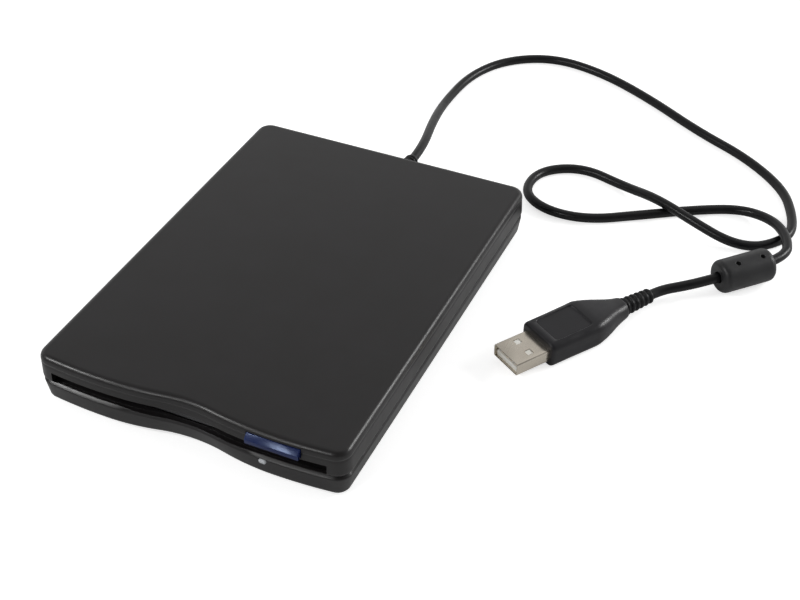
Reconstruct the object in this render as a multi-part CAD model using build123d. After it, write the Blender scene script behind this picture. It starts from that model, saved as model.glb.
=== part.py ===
from build123d import *
import os
from math import asin, degrees, radians, sqrt, tan

# External 3.5 inch floppy disk drive with its USB cord. Lengths are in millimetres.
# +X is the drive's right side, +Y its back, where the cord leaves, and +Z is up.
# The table is at z = 0, and the origin is the middle of the footprint.

# ---- Disk that the drive takes ------------------------------------------
disk_width = 90.0
disk_length = 94.0
disk_thick = 3.3
hub_to_lead = 46.7           # hub centre to the leading edge
track_outer = 39.5           # radius of the outermost track
track_inner = 24.7           # radius of the innermost track

# ---- General fits -------------------------------------------------------
gap = 0.3                    # between pieces that move past each other
fit = 0.1                    # between pieces that are put together
running = 0.05               # radial, between a shaft and its hole
sheet = 0.6                  # sheet steel of the slider and the carrier

# ---- Case shells --------------------------------------------------------
wall = 2.1
floor_wall = 1.8
roof_wall = 1.8
foot_proud = 1.0
foot_radius = 5.0
foot_recess = 0.6
foot_inset_x = 13.0          # foot centre in from the side of the case
foot_inset_y = 15.0          # foot centre in from the front and the back
corner_radius = 5.0
bottom_round = 2.2           # round along the lower edge of the case
lower_draft = 1.2            # how far the lower shell leans in
rim_inset = 0.6              # the top face is this much smaller all round
rim_height = 2.6             # height of the bevel below the top face
rim_round = 0.4
seam_depth = 0.7             # depth of the groove along the parting line
shell_step = 0.1             # the lower shell is this much smaller just below the groove
seam_height = 0.9            # height of the groove in each shell
lobe_in = 17.0               # the two front lobes stand out most this far in from the disk's edge
lobe_outer_radius = 170.0
scoop_radius = 50.0
scoop_top = 2.3              # depth of the finger scoop in the top shell
scoop_low = 3.2              # and at the foot of the lower shell
under_disk = 5.4             # chassis floor to the foot of the slot
slot_height = 4.15
above_slot = 3.35            # head of the slot to the underside of the roof
slot_side = 0.7              # slot beside the disk
rear_bay = 45.5              # room behind the disk
label_recess = 1.8           # the disk's label end lies this far inside the front
lip_height = 1.0             # tongue of the lower shell inside the upper one
lip_thick = 0.8
lip_front = 15.0             # the tongue ends this far behind the front
screw_boss_radius = 2.6
screw_boss_in = 6.2          # rear screws, in from the inner walls
screw_radius = 1.0
screw_head_radius = 1.9
screw_head_height = 1.3
screw_reach = 9.5
screw_tip_room = 0.4
foot_chamfer = 0.3
hook_behind = 6.6            # snap hooks, behind the front
hook_width = 4.0
hook_above = 2.4             # above the parting line
hook_thick = 1.2
hook_bite = 0.4              # how far a hook reaches into the upper shell's wall
hook_room = 0.2              # around a hook
chassis_boss_sink = 1.0      # depth of the chassis screws' holes in the floor
chassis_screw_front = (15.0, 26.0)   # front pair: in from the disk's edge, and in front of the hub
chassis_screw_rear = (19.0, 12.5)    # rear pair: in from the disk's edge, and behind the disk
chassis_screw_reach = 1.6
chassis_screw_head = 1.0             # height of its head
chassis_screw_head_radius = 1.8
label_width = 58.0
label_length = 34.0
label_depth = 0.15

# ---- Button and lamp ----------------------------------------------------
button_in = 15.5             # the button's middle, in from the disk's edge
button_width = 17.0
button_height = 3.0
button_proud = 1.2
button_depth = 5.3
button_above = 0.65          # foot of the button above the slot
button_round = 0.9           # round along the front edges of its head
stem_room = 0.25             # between its stem and the roof
lamp_aside = 3.8             # the lamp's middle, in from the button's
lamp_width = 2.4
lamp_height = 1.5
lamp_drop = 0.9              # head of the lens below the slot
lamp_proud = 0.3
lamp_pipe = 1.1              # thickness of the light pipe behind the lens
lamp_reach = 6.6             # the pipe ends this far behind the front
lamp_above = 2.0             # foot of the pipe above the chassis

# ---- Sheet metal --------------------------------------------------------
chassis_sheet = 0.8
carrier_drop = 2.4           # the carrier comes down this much
slider_travel = 4.0          # while the slider goes forward this much
carrier_behind = 5.0         # the carrier starts this far behind the slot door
pin_radius = 1.0
pin_z_below = 1.6            # carrier pins below the carrier's top
carrier_lip = 4.3            # width of the rails under the disk's edges
slider_lift = 0.7            # slider above the carrier's top plate
arm_window = 18.0            # window for the head arm
hub_window = 2.0             # round window over the hub, beyond the turntable

# ---- Spindle ------------------------------------------------------------
rotor_radius = 20.0
rotor_rim = 0.7
magnet_thick = 1.6
core_thick = 0.8
coil_count = 9
turntable_radius = 12.0
turntable_thick = 0.8
shaft_radius = 2.0
drive_pin_radius = 1.5
drive_pin_out = 10.0         # from the shaft's centre

# ---- Heads --------------------------------------------------------------
rod_x = -13.0
rod_radius = 1.0
rod_z_above = 1.7            # guide rod above the chassis floor
screw_x = 12.0
lead_radius = 1.5
lead_pitch = 3.0
motor_radius = 4.1
motor_length = 11.0
motor_behind = 1.5           # its front face behind the arm's hinge
head_arm_length = 26.0       # hinge to head
head_lift = 4.4              # the upper head is held this far up while no disk is in
head_size = 4.6
hinge_above = 9.4            # the arm's hinge above the chassis

# ---- Cord, bead and plug ------------------------------------------------
cord_radius = 1.7
cord_x = 3.2
cord_z_above = 0.4           # cord's centre above the parting line
relief_length = 12.0
relief_root = 3.2
relief_tip = 2.3
flange_radius = 4.0          # the grommet's flange inside the wall
flange_thick = 1.4
flange_room = 4.0            # room in front of the flange
collar_radius = 3.8          # the grommet's collar outside the wall
collar_thick = 1.3
bead_radius = 5.7
bead_length = 21.4
bead_round = 1.6
plug_shell_width = 12.0
plug_shell_height = 4.5
plug_shell_length = 12.3
plug_shell_wall = 0.35
plug_width = 15.6
plug_height = 8.0
plug_block = 19.0            # straight front part of the overmould
plug_neck = 15.6             # its tapered rear part
neck_width = 7.6
neck_height = 6.4
plug_relief_length = 11.8
plug_relief_radius = 3.1
plug_rings = 5
ring_share = 0.6             # of each ring's pitch, the rest is groove
ring_depth = 0.7
ring_taper = 0.16            # each ring's radius is this much smaller than the one before
shell_inside = 4.0           # the shell goes on this far inside the overmould
shell_round = 0.6
shell_round_in = 0.3
plug_round = 2.0
plug_front = (1.2, 1.0, 1.6)     # its front face: this much narrower and lower, and its round
plug_bevel = 1.0             # length of the bevel behind it
grip_depth = 0.35
grip_in = 2.2                # the grip's recess, in from the sides
grip_front = 3.0             # behind the overmould's front
grip_back = 1.5              # in front of the taper
latch_x = 2.9                # latch windows of the shell: middle, width, and along the plug
latch_width = 2.2
latch_y = (5.6, 7.8)
tongue_side = 0.3            # beside the tongue
tongue_thick = 1.85
tongue_front = 0.8           # the tongue, the block behind it and the contacts, from the mouth
tongue_block = 9.2
contact_y = (1.4, 8.8)
contact_places = (-3.5, -1.0, 1.0, 3.5)
contact_width = 1.0
contact_thick = 0.15

# The cord's way over the table: the first point is the end of the strain relief, and the
# last is where the plug's own relief begins. Heights are those of the cord's centre.
on_table = cord_radius
over_cord = 3.3 * cord_radius    # where the cord lies on itself
bead_z = bead_radius
plug_z = plug_height / 2


# ---- Derived places -----------------------------------------------------
disk_half = disk_width / 2
carrier_in = disk_half + gap
carrier_out = carrier_in + sheet
slider_in = carrier_out + gap
slider_out = slider_in + sheet
chassis_in = slider_out + gap
chassis_out = chassis_in + chassis_sheet
case_width = 2 * (chassis_out + gap + lower_draft + wall)
case_depth = label_recess + disk_length + rear_bay + wall
back_y = (case_depth + button_proud) / 2
front_y = back_y - case_depth
lead_y = back_y - wall - rear_bay
hub_y = lead_y - hub_to_lead
inner_half = case_width / 2 - wall
inner_back = back_y - wall
lobe_x = disk_half - lobe_in
button_x = disk_half - button_in
lamp_x = button_x - lamp_aside

floor_z = foot_proud + floor_wall
chassis_z = floor_z + chassis_sheet
parting_z = chassis_z + under_disk
slot_top = parting_z + slot_height
roof_z = slot_top + above_slot
case_height = roof_z + roof_wall

carrier_top = slot_top + 0.05 + sheet
bay_floor = parting_z - 0.05
slider_z = carrier_top + slider_lift
slider_top = slider_z + sheet
pin_z = carrier_top - pin_z_below
door_y = front_y + scoop_top + wall + 0.7
carrier_front = door_y + carrier_behind
carrier_back = lead_y + gap
loaded_disk_z = bay_floor + 0.45 - carrier_drop

core_radius = rotor_radius - rotor_rim - magnet_thick - gap
head_y = hub_y + track_outer
head_travel = track_outer - track_inner
hinge_y = head_y + head_arm_length
hinge_z = chassis_z + hinge_above
lift_angle = degrees(asin(head_lift / head_arm_length))
motor_z = floor_z + motor_radius + fit
rod_z = chassis_z + rod_z_above

cord_z = parting_z + cord_z_above
relief_end = back_y + relief_length


# ---- Helpers ------------------------------------------------------------
def block(x, y, z):
    """A box from its three (low, high) pairs."""
    size = [high - low for low, high in (x, y, z)]
    middle = [(high + low) / 2 for low, high in (x, y, z)]
    return Pos(*middle) * Box(*size)


def post(x, y, z, radius):
    """An upright cylinder between the heights z = (low, high)."""
    return Pos(x, y, (z[0] + z[1]) / 2) * Cylinder(radius, z[1] - z[0])


def bar_y(x, z, y, radius):
    """A cylinder along Y between y = (low, high)."""
    return Pos(x, (y[0] + y[1]) / 2, z) * Rot(90, 0, 0) * Cylinder(radius, y[1] - y[0])


def bar_x(y, z, x, radius):
    """A cylinder along X between x = (low, high)."""
    return Pos((x[0] + x[1]) / 2, y, z) * Rot(0, 90, 0) * Cylinder(radius, x[1] - x[0])


def both_sides(solid):
    """The solid and its mirror image on the other side of the drive."""
    return solid + mirror(solid, Plane.YZ)


def arc_about(start, end, centre):
    """The shorter arc from start to end about centre."""
    middle = ((start + end) / 2 - centre).normalized() * (start - centre).length + centre
    return ThreePointArc(start, middle, end)


def case_face(z, inset, scoop):
    """The case's plan at height z, moved in by inset: two front lobes and a scoop between."""
    side_x = case_width / 2 - inset
    back = back_y - inset
    inner_radius = (lobe_x**2 / scoop + scoop) / 2 - scoop_radius
    scoop_mid = Vector(0, front_y + scoop - scoop_radius)
    inner_mid = Vector(lobe_x, front_y + inner_radius)
    outer_mid = Vector(lobe_x, front_y + lobe_outer_radius)
    outer = lobe_outer_radius - inset
    corner = Vector(side_x, outer_mid.Y - sqrt(outer**2 - (side_x - lobe_x) ** 2))
    peak = Vector(lobe_x, front_y + inset)
    turn = scoop_mid + (inner_mid - scoop_mid).normalized() * (scoop_radius + inset)
    bottom = Vector(0, front_y + scoop + inset)
    right = [
        arc_about(bottom, turn, scoop_mid),
        arc_about(turn, peak, inner_mid),
        arc_about(peak, corner, outer_mid),
        Line(corner, Vector(side_x, back)),
        Line(Vector(side_x, back), Vector(0, back)),
    ]
    left = [mirror(edge, Plane.YZ) for edge in right]
    plan = make_face(Curve() + right + left)
    corners = plan.vertices().filter_by(lambda v: abs(abs(v.X) - side_x) < 0.01)
    return Pos(0, 0, z) * fillet(corners, corner_radius - inset)


def stack(slices):
    """A solid through case plans, each given as (z, inset, scoop)."""
    return loft([case_face(*piece) for piece in slices], ruled=True)


def rect_loft(sections):
    """A solid along +Y through rounded rectangles, each given as (y, width, height, radius)."""
    faces = [
        Plane(origin=(0, y, 0), x_dir=(1, 0, 0), z_dir=(0, -1, 0)) * RectangleRounded(w, h, r)
        for y, w, h, r in sections
    ]
    return loft(faces, ruled=True)


# ---- Case shells --------------------------------------------------------
foot_places = [
    (side * (case_width / 2 - foot_inset_x), y)
    for side in (-1, 1)
    for y in (front_y + foot_inset_y, back_y - foot_inset_y)
]
boss_places = [(side * (inner_half - screw_boss_in), inner_back - screw_boss_in) for side in (-1, 1)]
boss_seam = chassis_z + 2.4
hook_y = (front_y + hook_behind, front_y + hook_behind + hook_width)
hook_z = (parting_z + hook_above, parting_z + hook_above + hook_thick)
chassis_screw_places = [
    (side * (disk_half - x), y)
    for side in (-1, 1)
    for x, y in (
        (chassis_screw_front[0], hub_y - chassis_screw_front[1]),
        (chassis_screw_rear[0], lead_y + chassis_screw_rear[1]),
    )
]


def case_lip(clearance):
    """Tongue of the lower shell, or with a clearance the room for it, clear of the slot."""
    outside = case_face(parting_z - fit, wall - lip_thick - clearance, scoop_top)
    inside = case_face(parting_z - fit, wall, scoop_top)
    ring = extrude(outside, lip_height + fit + clearance) - extrude(inside, 2 * lip_height)
    return ring & block((-case_width, case_width), (front_y + lip_front, back_y), (0, case_height))


def cord_hole():
    """The hole in the back wall for the cord's grommet, with room for its flange inside."""
    hole = bar_y(cord_x, cord_z, (inner_back - flange_thick, back_y + flange_thick), relief_root)
    return hole + bar_y(cord_x, cord_z, (inner_back - flange_room, inner_back), flange_radius + fit)


def label_block(clearance, lift):
    """The label, or with no clearance its recess, from the lower face up."""
    return block(
        (-label_width / 2 + clearance, label_width / 2 - clearance),
        (-label_length / 2 + clearance, label_length / 2 - clearance),
        (foot_proud + lift, foot_proud + label_depth),
    )


def make_bottom_cover():
    cover = stack([
        (foot_proud, lower_draft, scoop_low),
        (parting_z - seam_height, shell_step, scoop_top),
        (parting_z, seam_depth, scoop_top),
    ])
    lower_edges = cover.edges().group_by(Axis.Z)[0]
    cover = fillet(lower_edges, bottom_round)
    cavity = stack([
        (floor_z, wall + lower_draft, scoop_low),
        (parting_z, wall, scoop_top),
    ])
    cover -= cavity
    cover += case_lip(0)
    for x, y in boss_places:
        cover += post(x, y, (floor_z, boss_seam), screw_boss_radius)
        cover -= post(x, y, (0, foot_proud + screw_head_height + fit), screw_head_radius + fit)
        cover -= post(x, y, (0, boss_seam), screw_radius + fit)
    for x, y in foot_places:
        cover -= post(x, y, (0, foot_proud + foot_recess), foot_radius)
    for x, y in chassis_screw_places:
        cover -= post(x, y, (floor_z - chassis_boss_sink, chassis_z), screw_radius)
    cover -= label_block(0, 0)
    arm_x = (inner_half - hook_room - hook_thick, inner_half - hook_room)
    hook = block(arm_x, hook_y, (floor_z, hook_z[1]))
    hook += block((arm_x[0], inner_half + hook_bite), hook_y, hook_z)
    cover += both_sides(hook)
    cover -= cord_hole()
    cover -= lamp_block(fit)
    return cover


def make_top_cover():
    cover = stack([
        (parting_z, seam_depth, scoop_top),
        (parting_z + seam_height, 0, scoop_top),
        (case_height - rim_height, 0, scoop_top),
        (case_height, rim_inset, scoop_top),
    ])
    cover = fillet(cover.edges().group_by(Axis.Z)[-1], rim_round)
    cover -= extrude(case_face(parting_z, wall, scoop_top), roof_z - parting_z)
    slot_half = disk_half + slot_side
    front = (front_y - 1, door_y)
    cover -= block((-slot_half, slot_half), front, (parting_z - 1, slot_top))
    cover -= block(
        (button_x - button_width / 2 - gap / 2, button_x + button_width / 2 + gap / 2),
        (front_y - 1, front_y + button_depth + gap),
        (button_z - gap / 2, button_z + button_height + gap / 2),
    )
    cover -= case_lip(fit)
    for x, y in boss_places:
        cover += post(x, y, (boss_seam, roof_z), screw_boss_radius)
        tip = foot_proud + fit + screw_head_height + screw_reach
        cover -= post(x, y, (boss_seam, tip + screw_tip_room), screw_radius)
    catch_z = (hook_z[0] - hook_room, hook_z[1] + hook_room)
    catch = block((inner_half - hook_bite, inner_half + hook_bite + hook_room), hook_y, catch_z)
    cover -= both_sides(catch)
    cover -= cord_hole()
    return cover


button_z = slot_top + button_above
lamp_top = parting_z - lamp_drop
lamp_foot = chassis_z + lamp_above
lamp_back = front_y + lamp_reach


def lamp_block(clearance):
    """The lens: a window in the front wall and a light pipe down and back to the lamp."""
    x = (lamp_x - lamp_width / 2 - clearance, lamp_x + lamp_width / 2 + clearance)
    window = (lamp_top - lamp_height - clearance, lamp_top + clearance)
    behind = (front_y + wall + gap, front_y + wall + gap + lamp_pipe)
    pipe = block(x, (front_y - lamp_proud, behind[1]), window)
    pipe += block(x, behind, (lamp_foot, lamp_top))
    return pipe + block(x, (behind[0], lamp_back), (lamp_foot, lamp_foot + lamp_pipe))


cross_width = 0.4            # of the cross recess in a screw's head
cross_share = 0.6            # the recess's reach as a share of the head's radius


def make_screw(x, y, z, reach, radius, head_radius, head_height, turned=False):
    """A pan head screw whose head starts at height z; it points up, or down when turned."""
    way = -1 if turned else 1
    head = post(x, y, sorted((z, z + way * head_height)), head_radius)
    shank = post(x, y, sorted((z + way * head_height, z + way * (head_height + reach))), radius)
    arm = Box(2 * cross_share * head_radius, cross_width, head_height)
    return head + shank - Pos(x, y, z) * (arm + Rot(0, 0, 90) * arm)


def make_case_pieces():
    feet = [post(x, y, (0, foot_proud + foot_recess), foot_radius) for x, y in foot_places]
    feet = [chamfer(foot.edges().group_by(Axis.Z)[0], foot_chamfer) for foot in feet]
    screws = [
        make_screw(x, y, foot_proud + fit, screw_reach, screw_radius, screw_head_radius, screw_head_height)
        for x, y in boss_places
    ]
    return {
        "bottom_cover": make_bottom_cover(),
        "top_cover": make_top_cover(),
        "rubber_feet": feet,
        "case_screws": screws,
        "rating_label": label_block(fit, label_depth / 5),
        "lamp_lens": lamp_block(0),
    }


# ---- Slot door ----------------------------------------------------------
door_pin_radius = 0.45
door_sheet = 0.8
door_above = 0.45            # the door's pin above the slot
door_below = 0.2             # the door's edge above the foot of the slot
ear_thick = 1.0
ear_gap = 0.5                # between the door's end and its ear
ear_reach = (1.5, 1.1)       # an ear in front of the pin, and behind it
door_axis_z = slot_top + door_above
door_half = disk_half + gap


def make_door_pieces():
    """A flap behind the slot, hung from a pin along its upper edge."""
    y = (door_y - door_sheet / 2, door_y + door_sheet / 2)
    flap = block((-door_half, door_half), y, (parting_z + door_below, door_axis_z))
    barrel = bar_x(door_y, door_axis_z, (-door_half, door_half), door_sheet / 2 + fit)
    ear_x = (door_half + ear_gap, door_half + ear_gap + ear_thick)
    ends = bar_x(door_y, door_axis_z, (door_half, ear_x[1] + fit), door_pin_radius)
    door = flap + barrel + both_sides(ends)
    ear_y = (door_y - ear_reach[0], door_y + ear_reach[1])
    ear = block(ear_x, ear_y, (door_axis_z - ear_reach[1], roof_z))
    ear -= bar_x(door_y, door_axis_z, (ear_x[0], ear_x[1]), door_pin_radius + running)
    return door, both_sides(ear)


# ---- Chassis ------------------------------------------------------------
pan_front = 1.5              # the pan reaches this far in front of the carrier
side_inset = 1.0             # the sides start this far behind the carrier's front
side_behind = 4.0            # and end this far behind the carrier
pin_front = 14.0             # carrier pins, behind the carrier's front
pin_rear = 16.0              # and in front of its back
post_in = 4.0                # disk posts beside the carrier's rails
post_front = 26.0            # in front of the hub
post_rear = 14.7             # in front of the disk's leading edge
post_radius = 2.0
standoff_height = 1.0
standoff_radius = 1.6
spring_in = 11.0             # the springs' axes, in from the disk's edge
spring_radius = 1.6
spring_wire = 0.45
spring_above = 6.6           # the springs' axis above the chassis
spring_length = 11.0
spring_pin = 2.5             # length of the pin inside each end of a spring
spring_hold = 2.5            # half the width of a spring's tab
spring_pin_room = 0.25       # around the pin
tab_margin = 2.3             # a tab reaches this far past its spring's axis
clamp_half = 2.6
clamp_above = 1.5            # above the guide rod's axis
clamp_length = 2.6
slab_reach = 4.0             # the carriage's slab starts this far behind the head
slab_behind = 3.0            # and ends this far behind the hinge

spring_x = disk_half - spring_in
chassis_front = carrier_front - pan_front
chassis_back = inner_back - screw_boss_in - screw_boss_radius - gap
side_y = (carrier_front + side_inset, carrier_back + side_behind)
pin_places = [carrier_front + pin_front, carrier_back - pin_rear]
post_places = [
    (side * (carrier_in - carrier_lip - post_in), y)
    for side in (-1, 1)
    for y in (hub_y - post_front, lead_y - post_rear)
]
standoff_top = chassis_z + standoff_height
spring_z = chassis_z + spring_above
tab_y = carrier_back + slider_travel + gap      # the slider's spring tabs stay behind the disk
spring_front = tab_y + sheet + gap
spring_back = spring_front + spring_length
slab_y = (head_y + slab_reach, hinge_y + slab_behind)
rod_ends = (slab_y[0] - head_travel - gap - clamp_length, slab_y[1] + gap + clamp_length)

# Circuit boards, each as its (low, high) along X and along Y.
board_sheet = 0.8
board_side = 3.4             # the two rear boards, in from the inner walls
board_behind = 19.0          # behind the disk
board_back = 2.0             # in front of the rear wall
left_width = 27.0
right_width = 26.0
front_board_in = (5.0, 3.0)  # ends of the front board, in from the disk's edges
front_board_y = (1.0, 8.5)   # it reaches in front of the carrier's front edge, and behind it
strip_side = 8.2             # the strip under the cord's connector, beside the cord
strip_depth = 9.0
standoff_in = 3.0            # standoffs, in from a board's edges
standoff_back = 2.0          # in from the front board's rear edge
standoff_front = 4.0         # in from a rear board's front edge
chip_lift = 0.2              # a chip's body above its board
chip_top = 1.5
leg_reach = 0.8              # its legs beside the body
leg_in = 0.6                 # and in from its ends
leg_thick = 0.4
left_chips = ((10.0, 10.0, 10.5, 11.0), (5.0, 8.0, 22.5, 9.0))   # width, length, and middle from the corner
right_chips = ((9.0, 9.0, 12.5, 11.0), (4.0, 8.0, 21.0, 11.0))
socket_in = (3.0, 4.0)       # the flat cable's sockets, in from the boards' inner edges
socket_width = 3.2
socket_length = 7.0
socket_height = 3.0
socket_back = 2.0            # in from the boards' rear edges
cable_rise = 3.4             # the flat cable above its sockets
cable_thick = 0.25
cable_in = 0.6               # in from the sockets' ends
switch_size = (4.4, 3.6)
switch_behind = 3.6          # behind the front board's front edge, to a switch's middle
switch_in = (9.0, -12.5, -6.5)   # from the disk's left edge, and from its right one
switch_room = 0.3            # below a loaded disk
switch_pin_radius = 0.7
switch_pin_room = 0.2        # below the carrier's floor
lamp_size = (2.2, 1.8, 1.2)
board_x = inner_half - board_side
board_y = (lead_y + board_behind, inner_back - board_back)
front_board = (
    (front_board_in[0] - disk_half, disk_half - front_board_in[1]),
    (carrier_front - front_board_y[0], carrier_front + front_board_y[1]),
)
left_board = ((-board_x, left_width - board_x), board_y)
right_board = ((board_x - right_width, board_x), board_y)
cord_strip = ((cord_x - strip_side, right_board[0][0]), (board_y[1] - strip_depth, board_y[1]))
standoff_places = [
    (front_board[0][0] + standoff_in, front_board[1][1] - standoff_back),
    (front_board[0][1] - 4 * standoff_in, front_board[1][1] - standoff_back),
]
for board in (left_board, right_board):
    for x in (board[0][0] + standoff_in, board[0][1] - standoff_in):
        standoff_places.append((x, board[1][0] + standoff_front))


def spring_seat(x, y, pin_y, z):
    """A tab across the drive with a pin that holds one end of a slider spring."""
    tab = block((x - spring_hold, x + spring_hold), y, z)
    return tab + bar_y(x, spring_z, pin_y, spring_radius - spring_wire - spring_pin_room)


def make_chassis():
    """The pan with what stands on it, and its two side walls with their upright slots."""
    pan = block((-chassis_out, chassis_out), (chassis_front, chassis_back), (floor_z, chassis_z))
    for x, y in post_places:
        pan += post(x, y, (floor_z, loaded_disk_z), post_radius)
    for x, y in standoff_places:
        pan += post(x, y, (floor_z, standoff_top), standoff_radius)
    motor_room = motor_radius + gap
    motor_x = (screw_x - motor_room, screw_x + motor_room)
    pan -= block(motor_x, (motor_y[0] - fit, motor_y[1] + gap), (0, motor_z))
    for end in (rod_ends[0], rod_ends[1] - clamp_length):
        clamp_x = (rod_x - clamp_half, rod_x + clamp_half)
        pan += block(clamp_x, (end, end + clamp_length), (floor_z, rod_z + clamp_above))
    pan -= bar_y(rod_x, rod_z, (rod_ends[0], rod_ends[1]), rod_radius + running)
    for x in (-spring_x, spring_x):
        seat_y = (spring_back, spring_back + chassis_sheet)
        pin_y = (spring_back - spring_pin, spring_back)
        pan += spring_seat(x, seat_y, pin_y, (floor_z, spring_z + tab_margin))
    for x, y in chassis_screw_places:
        pan -= post(x, y, (floor_z, chassis_z), screw_radius + fit)
    side = block((chassis_in, chassis_out), side_y, (chassis_z, slider_top))
    for y in pin_places:
        z = (pin_z - carrier_drop, pin_z)
        side -= block((chassis_in, chassis_out), (y - pin_radius - fit, y + pin_radius + fit), z)
        for end in z:
            side -= bar_x(y, end, (chassis_in, chassis_out), pin_radius + fit)
    return pan, [side, mirror(side, Plane.YZ)]


motor_y = (hinge_y + motor_behind, hinge_y + motor_behind + motor_length)


def make_boards():
    z = (standoff_top, standoff_top + board_sheet)
    chips = z[1]
    boards = {
        "front_board": block(*front_board, z),
        "controller_board": block(*left_board, z),
        "usb_board": block(*right_board, z) + block(*cord_strip, z),
    }
    for x, y in boss_places:
        notch = post(x, y, z, screw_boss_radius + fit)
        boards["controller_board"] -= notch
        boards["usb_board"] -= notch
    boards["controller_chips"] = [chip(left_board, *sizes, chips) for sizes in left_chips]
    boards["usb_chips"] = [chip(right_board, *sizes, chips) for sizes in right_chips]
    boards["flat_cable_sockets"] = [
        block((x - socket_width / 2, x + socket_width / 2), flat_cable_y, (chips, chips + socket_height))
        for x in flat_cable_x
    ]
    boards["flat_cable"] = make_flat_cable(chips + socket_height)
    return boards


flat_cable_x = (left_board[0][1] - socket_in[0], right_board[0][0] + socket_in[1])
flat_cable_y = (board_y[1] - socket_back - socket_length, board_y[1] - socket_back)


def chip(board, width, length, across, along, z):
    """A chip's body with its rows of legs, placed from its board's front left corner."""
    x, y = board[0][0] + across, board[1][0] + along
    half, half_length = width / 2, length / 2
    body = block((x - half, x + half), (y - half_length, y + half_length), (z + chip_lift, z + chip_top))
    half, half_length = half + leg_reach, half_length - leg_in
    return body + block((x - half, x + half), (y - half_length, y + half_length), (z, z + leg_thick))


def make_flat_cable(z):
    """A flat flexible cable that goes up, across and down between its sockets."""
    top = z + cable_rise
    half = cable_thick / 2
    low, high = flat_cable_x
    y = (flat_cable_y[0] + cable_in, flat_cable_y[1] - cable_in)
    cable = block((low - half, high + half), y, (top - cable_thick, top))
    for x in flat_cable_x:
        cable += block((x - half, x + half), y, (z, top))
    return cable


def make_front_parts():
    """Disk switches and the activity lamp, which stand on the front board."""
    z = standoff_top + board_sheet
    y = front_board[1][0] + switch_behind
    half_x, half_y = switch_size[0] / 2, switch_size[1] / 2
    switches = []
    for way in switch_in:
        x = way - disk_half if way > 0 else disk_half + way
        switch = block((x - half_x, x + half_x), (y - half_y, y + half_y), (z, loaded_disk_z - switch_room))
        switches.append(switch + post(x, y, (z, bay_floor - switch_pin_room), switch_pin_radius))
    wide, deep, high = lamp_size
    lamp_y = (lamp_back + fit, lamp_back + fit + deep)
    return switches, block((lamp_x - wide / 2, lamp_x + wide / 2), lamp_y, (z, z + high))


# ---- Slider and carrier -------------------------------------------------
tongue_half = 6.5


def window_cut(z, extra=0.0):
    """Room for the head arm: a window open to the rear, and a round hole over the hub."""
    half = arm_window / 2 + extra
    cut = block((-half, half), (hub_y + turntable_radius, case_depth), z)
    return cut + post(0, hub_y, z, turntable_radius + hub_window)


slider_front = carrier_front + 0.5
flange_below = 2.6           # the slider's flanges below the lowered pins
lightening = (18.0, 16.0, 3.0)           # holes in the slider's plate: width, length, corner
lightening_in = 15.0         # their middles, in from the disk's edge
lightening_step = (-12.0, 30.0)          # and from the hub, of the right one and of the rear one
lightening_x = disk_half - lightening_in
lightening_places = (
    (-lightening_x, hub_y),
    (lightening_x, hub_y + lightening_step[0]),
    (-lightening_x, hub_y + lightening_step[1]),
)


def make_slider():
    """The plate with its tongue, the two flanges with their cam slots, and the spring tabs."""
    z = (slider_z, slider_top)
    plate = block((-slider_out, slider_out), (slider_front, carrier_back), z) - window_cut(z)
    width, length, corner = lightening
    for x, y in lightening_places:
        plate -= Pos(x, y, slider_z) * extrude(RectangleRounded(width, length, corner), 1, both=True)
    plate += block((button_x - tongue_half, button_x + tongue_half), (button_back, slider_front + 1), z)
    flange_z = (pin_z - carrier_drop - flange_below, slider_z)
    flange = block((slider_in, slider_out), (slider_front, carrier_back), flange_z)
    for y in pin_places:
        flange -= cam_slot(y)
    tabs = []
    for x in (-spring_x, spring_x):
        plate += block((x - spring_hold, x + spring_hold), (carrier_back - 1, tab_y + sheet), z)
        pin_y = (tab_y + sheet, tab_y + sheet + spring_pin)
        tabs.append(spring_seat(x, (tab_y, tab_y + sheet), pin_y, (spring_z - tab_margin, slider_z)))
    return plate, [flange, mirror(flange, Plane.YZ)], tabs


def cam_slot(y):
    """A slanted slot in the flange: the slider's travel lowers the pin by the carrier's drop."""
    ends = [Vector(y, pin_z), Vector(y + slider_travel, pin_z - carrier_drop)]
    run = ends[1] - ends[0]
    middle = (ends[0] + ends[1]) / 2
    angle = degrees(asin(run.Y / run.length))
    shape = Rot(0, 0, angle) * SlotCenterToCenter(run.length, 2 * (pin_radius + fit))
    side = Plane(origin=(0, middle.X, middle.Y), x_dir=(0, 1, 0), z_dir=(1, 0, 0))
    return extrude(side * shape, case_width)


button_back = front_y - button_proud + button_depth


def make_button():
    x = (button_x - button_width / 2, button_x + button_width / 2)
    z = (button_z, button_z + button_height)
    head = block(x, (front_y - button_proud, button_back), z)
    head = fillet(head.edges().filter_by(Axis.X).group_by(Axis.Y)[0], button_round)
    stem_x = (button_x - tongue_half, button_x + tongue_half)
    stem = block(stem_x, (button_back, carrier_front + 2.5), (slider_top, roof_z - stem_room))
    return head + stem


def make_carrier():
    """The frame that the disk slides into: a top plate, and a rail round each edge of the disk."""
    plate_z = (carrier_top - sheet, carrier_top)
    y = (carrier_front, carrier_back)
    plate = block((-carrier_out, carrier_out), y, plate_z) - window_cut(plate_z)
    plate -= post(*lever_pivot, plate_z, lever_pin_radius + running)
    pivot = Vector(*lever_pivot)
    sweep = arc_slot(pivot, lever_reach, lever_rest, lever_swing, finger_radius + slot_room)
    plate -= Pos(0, 0, carrier_top) * extrude(sweep, 1, both=True)
    rail_foot = bay_floor - sheet
    rail = block((carrier_in, carrier_out), y, (rail_foot, plate_z[0]))
    rail += block((carrier_in - carrier_lip, carrier_out), y, (rail_foot, bay_floor))
    return plate, [rail, mirror(rail, Plane.YZ)]


def make_carrier_pins():
    pins = [bar_x(y, pin_z, (carrier_out, chassis_out), pin_radius) for y in pin_places]
    return pins + [mirror(pin, Plane.YZ) for pin in pins]


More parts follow.
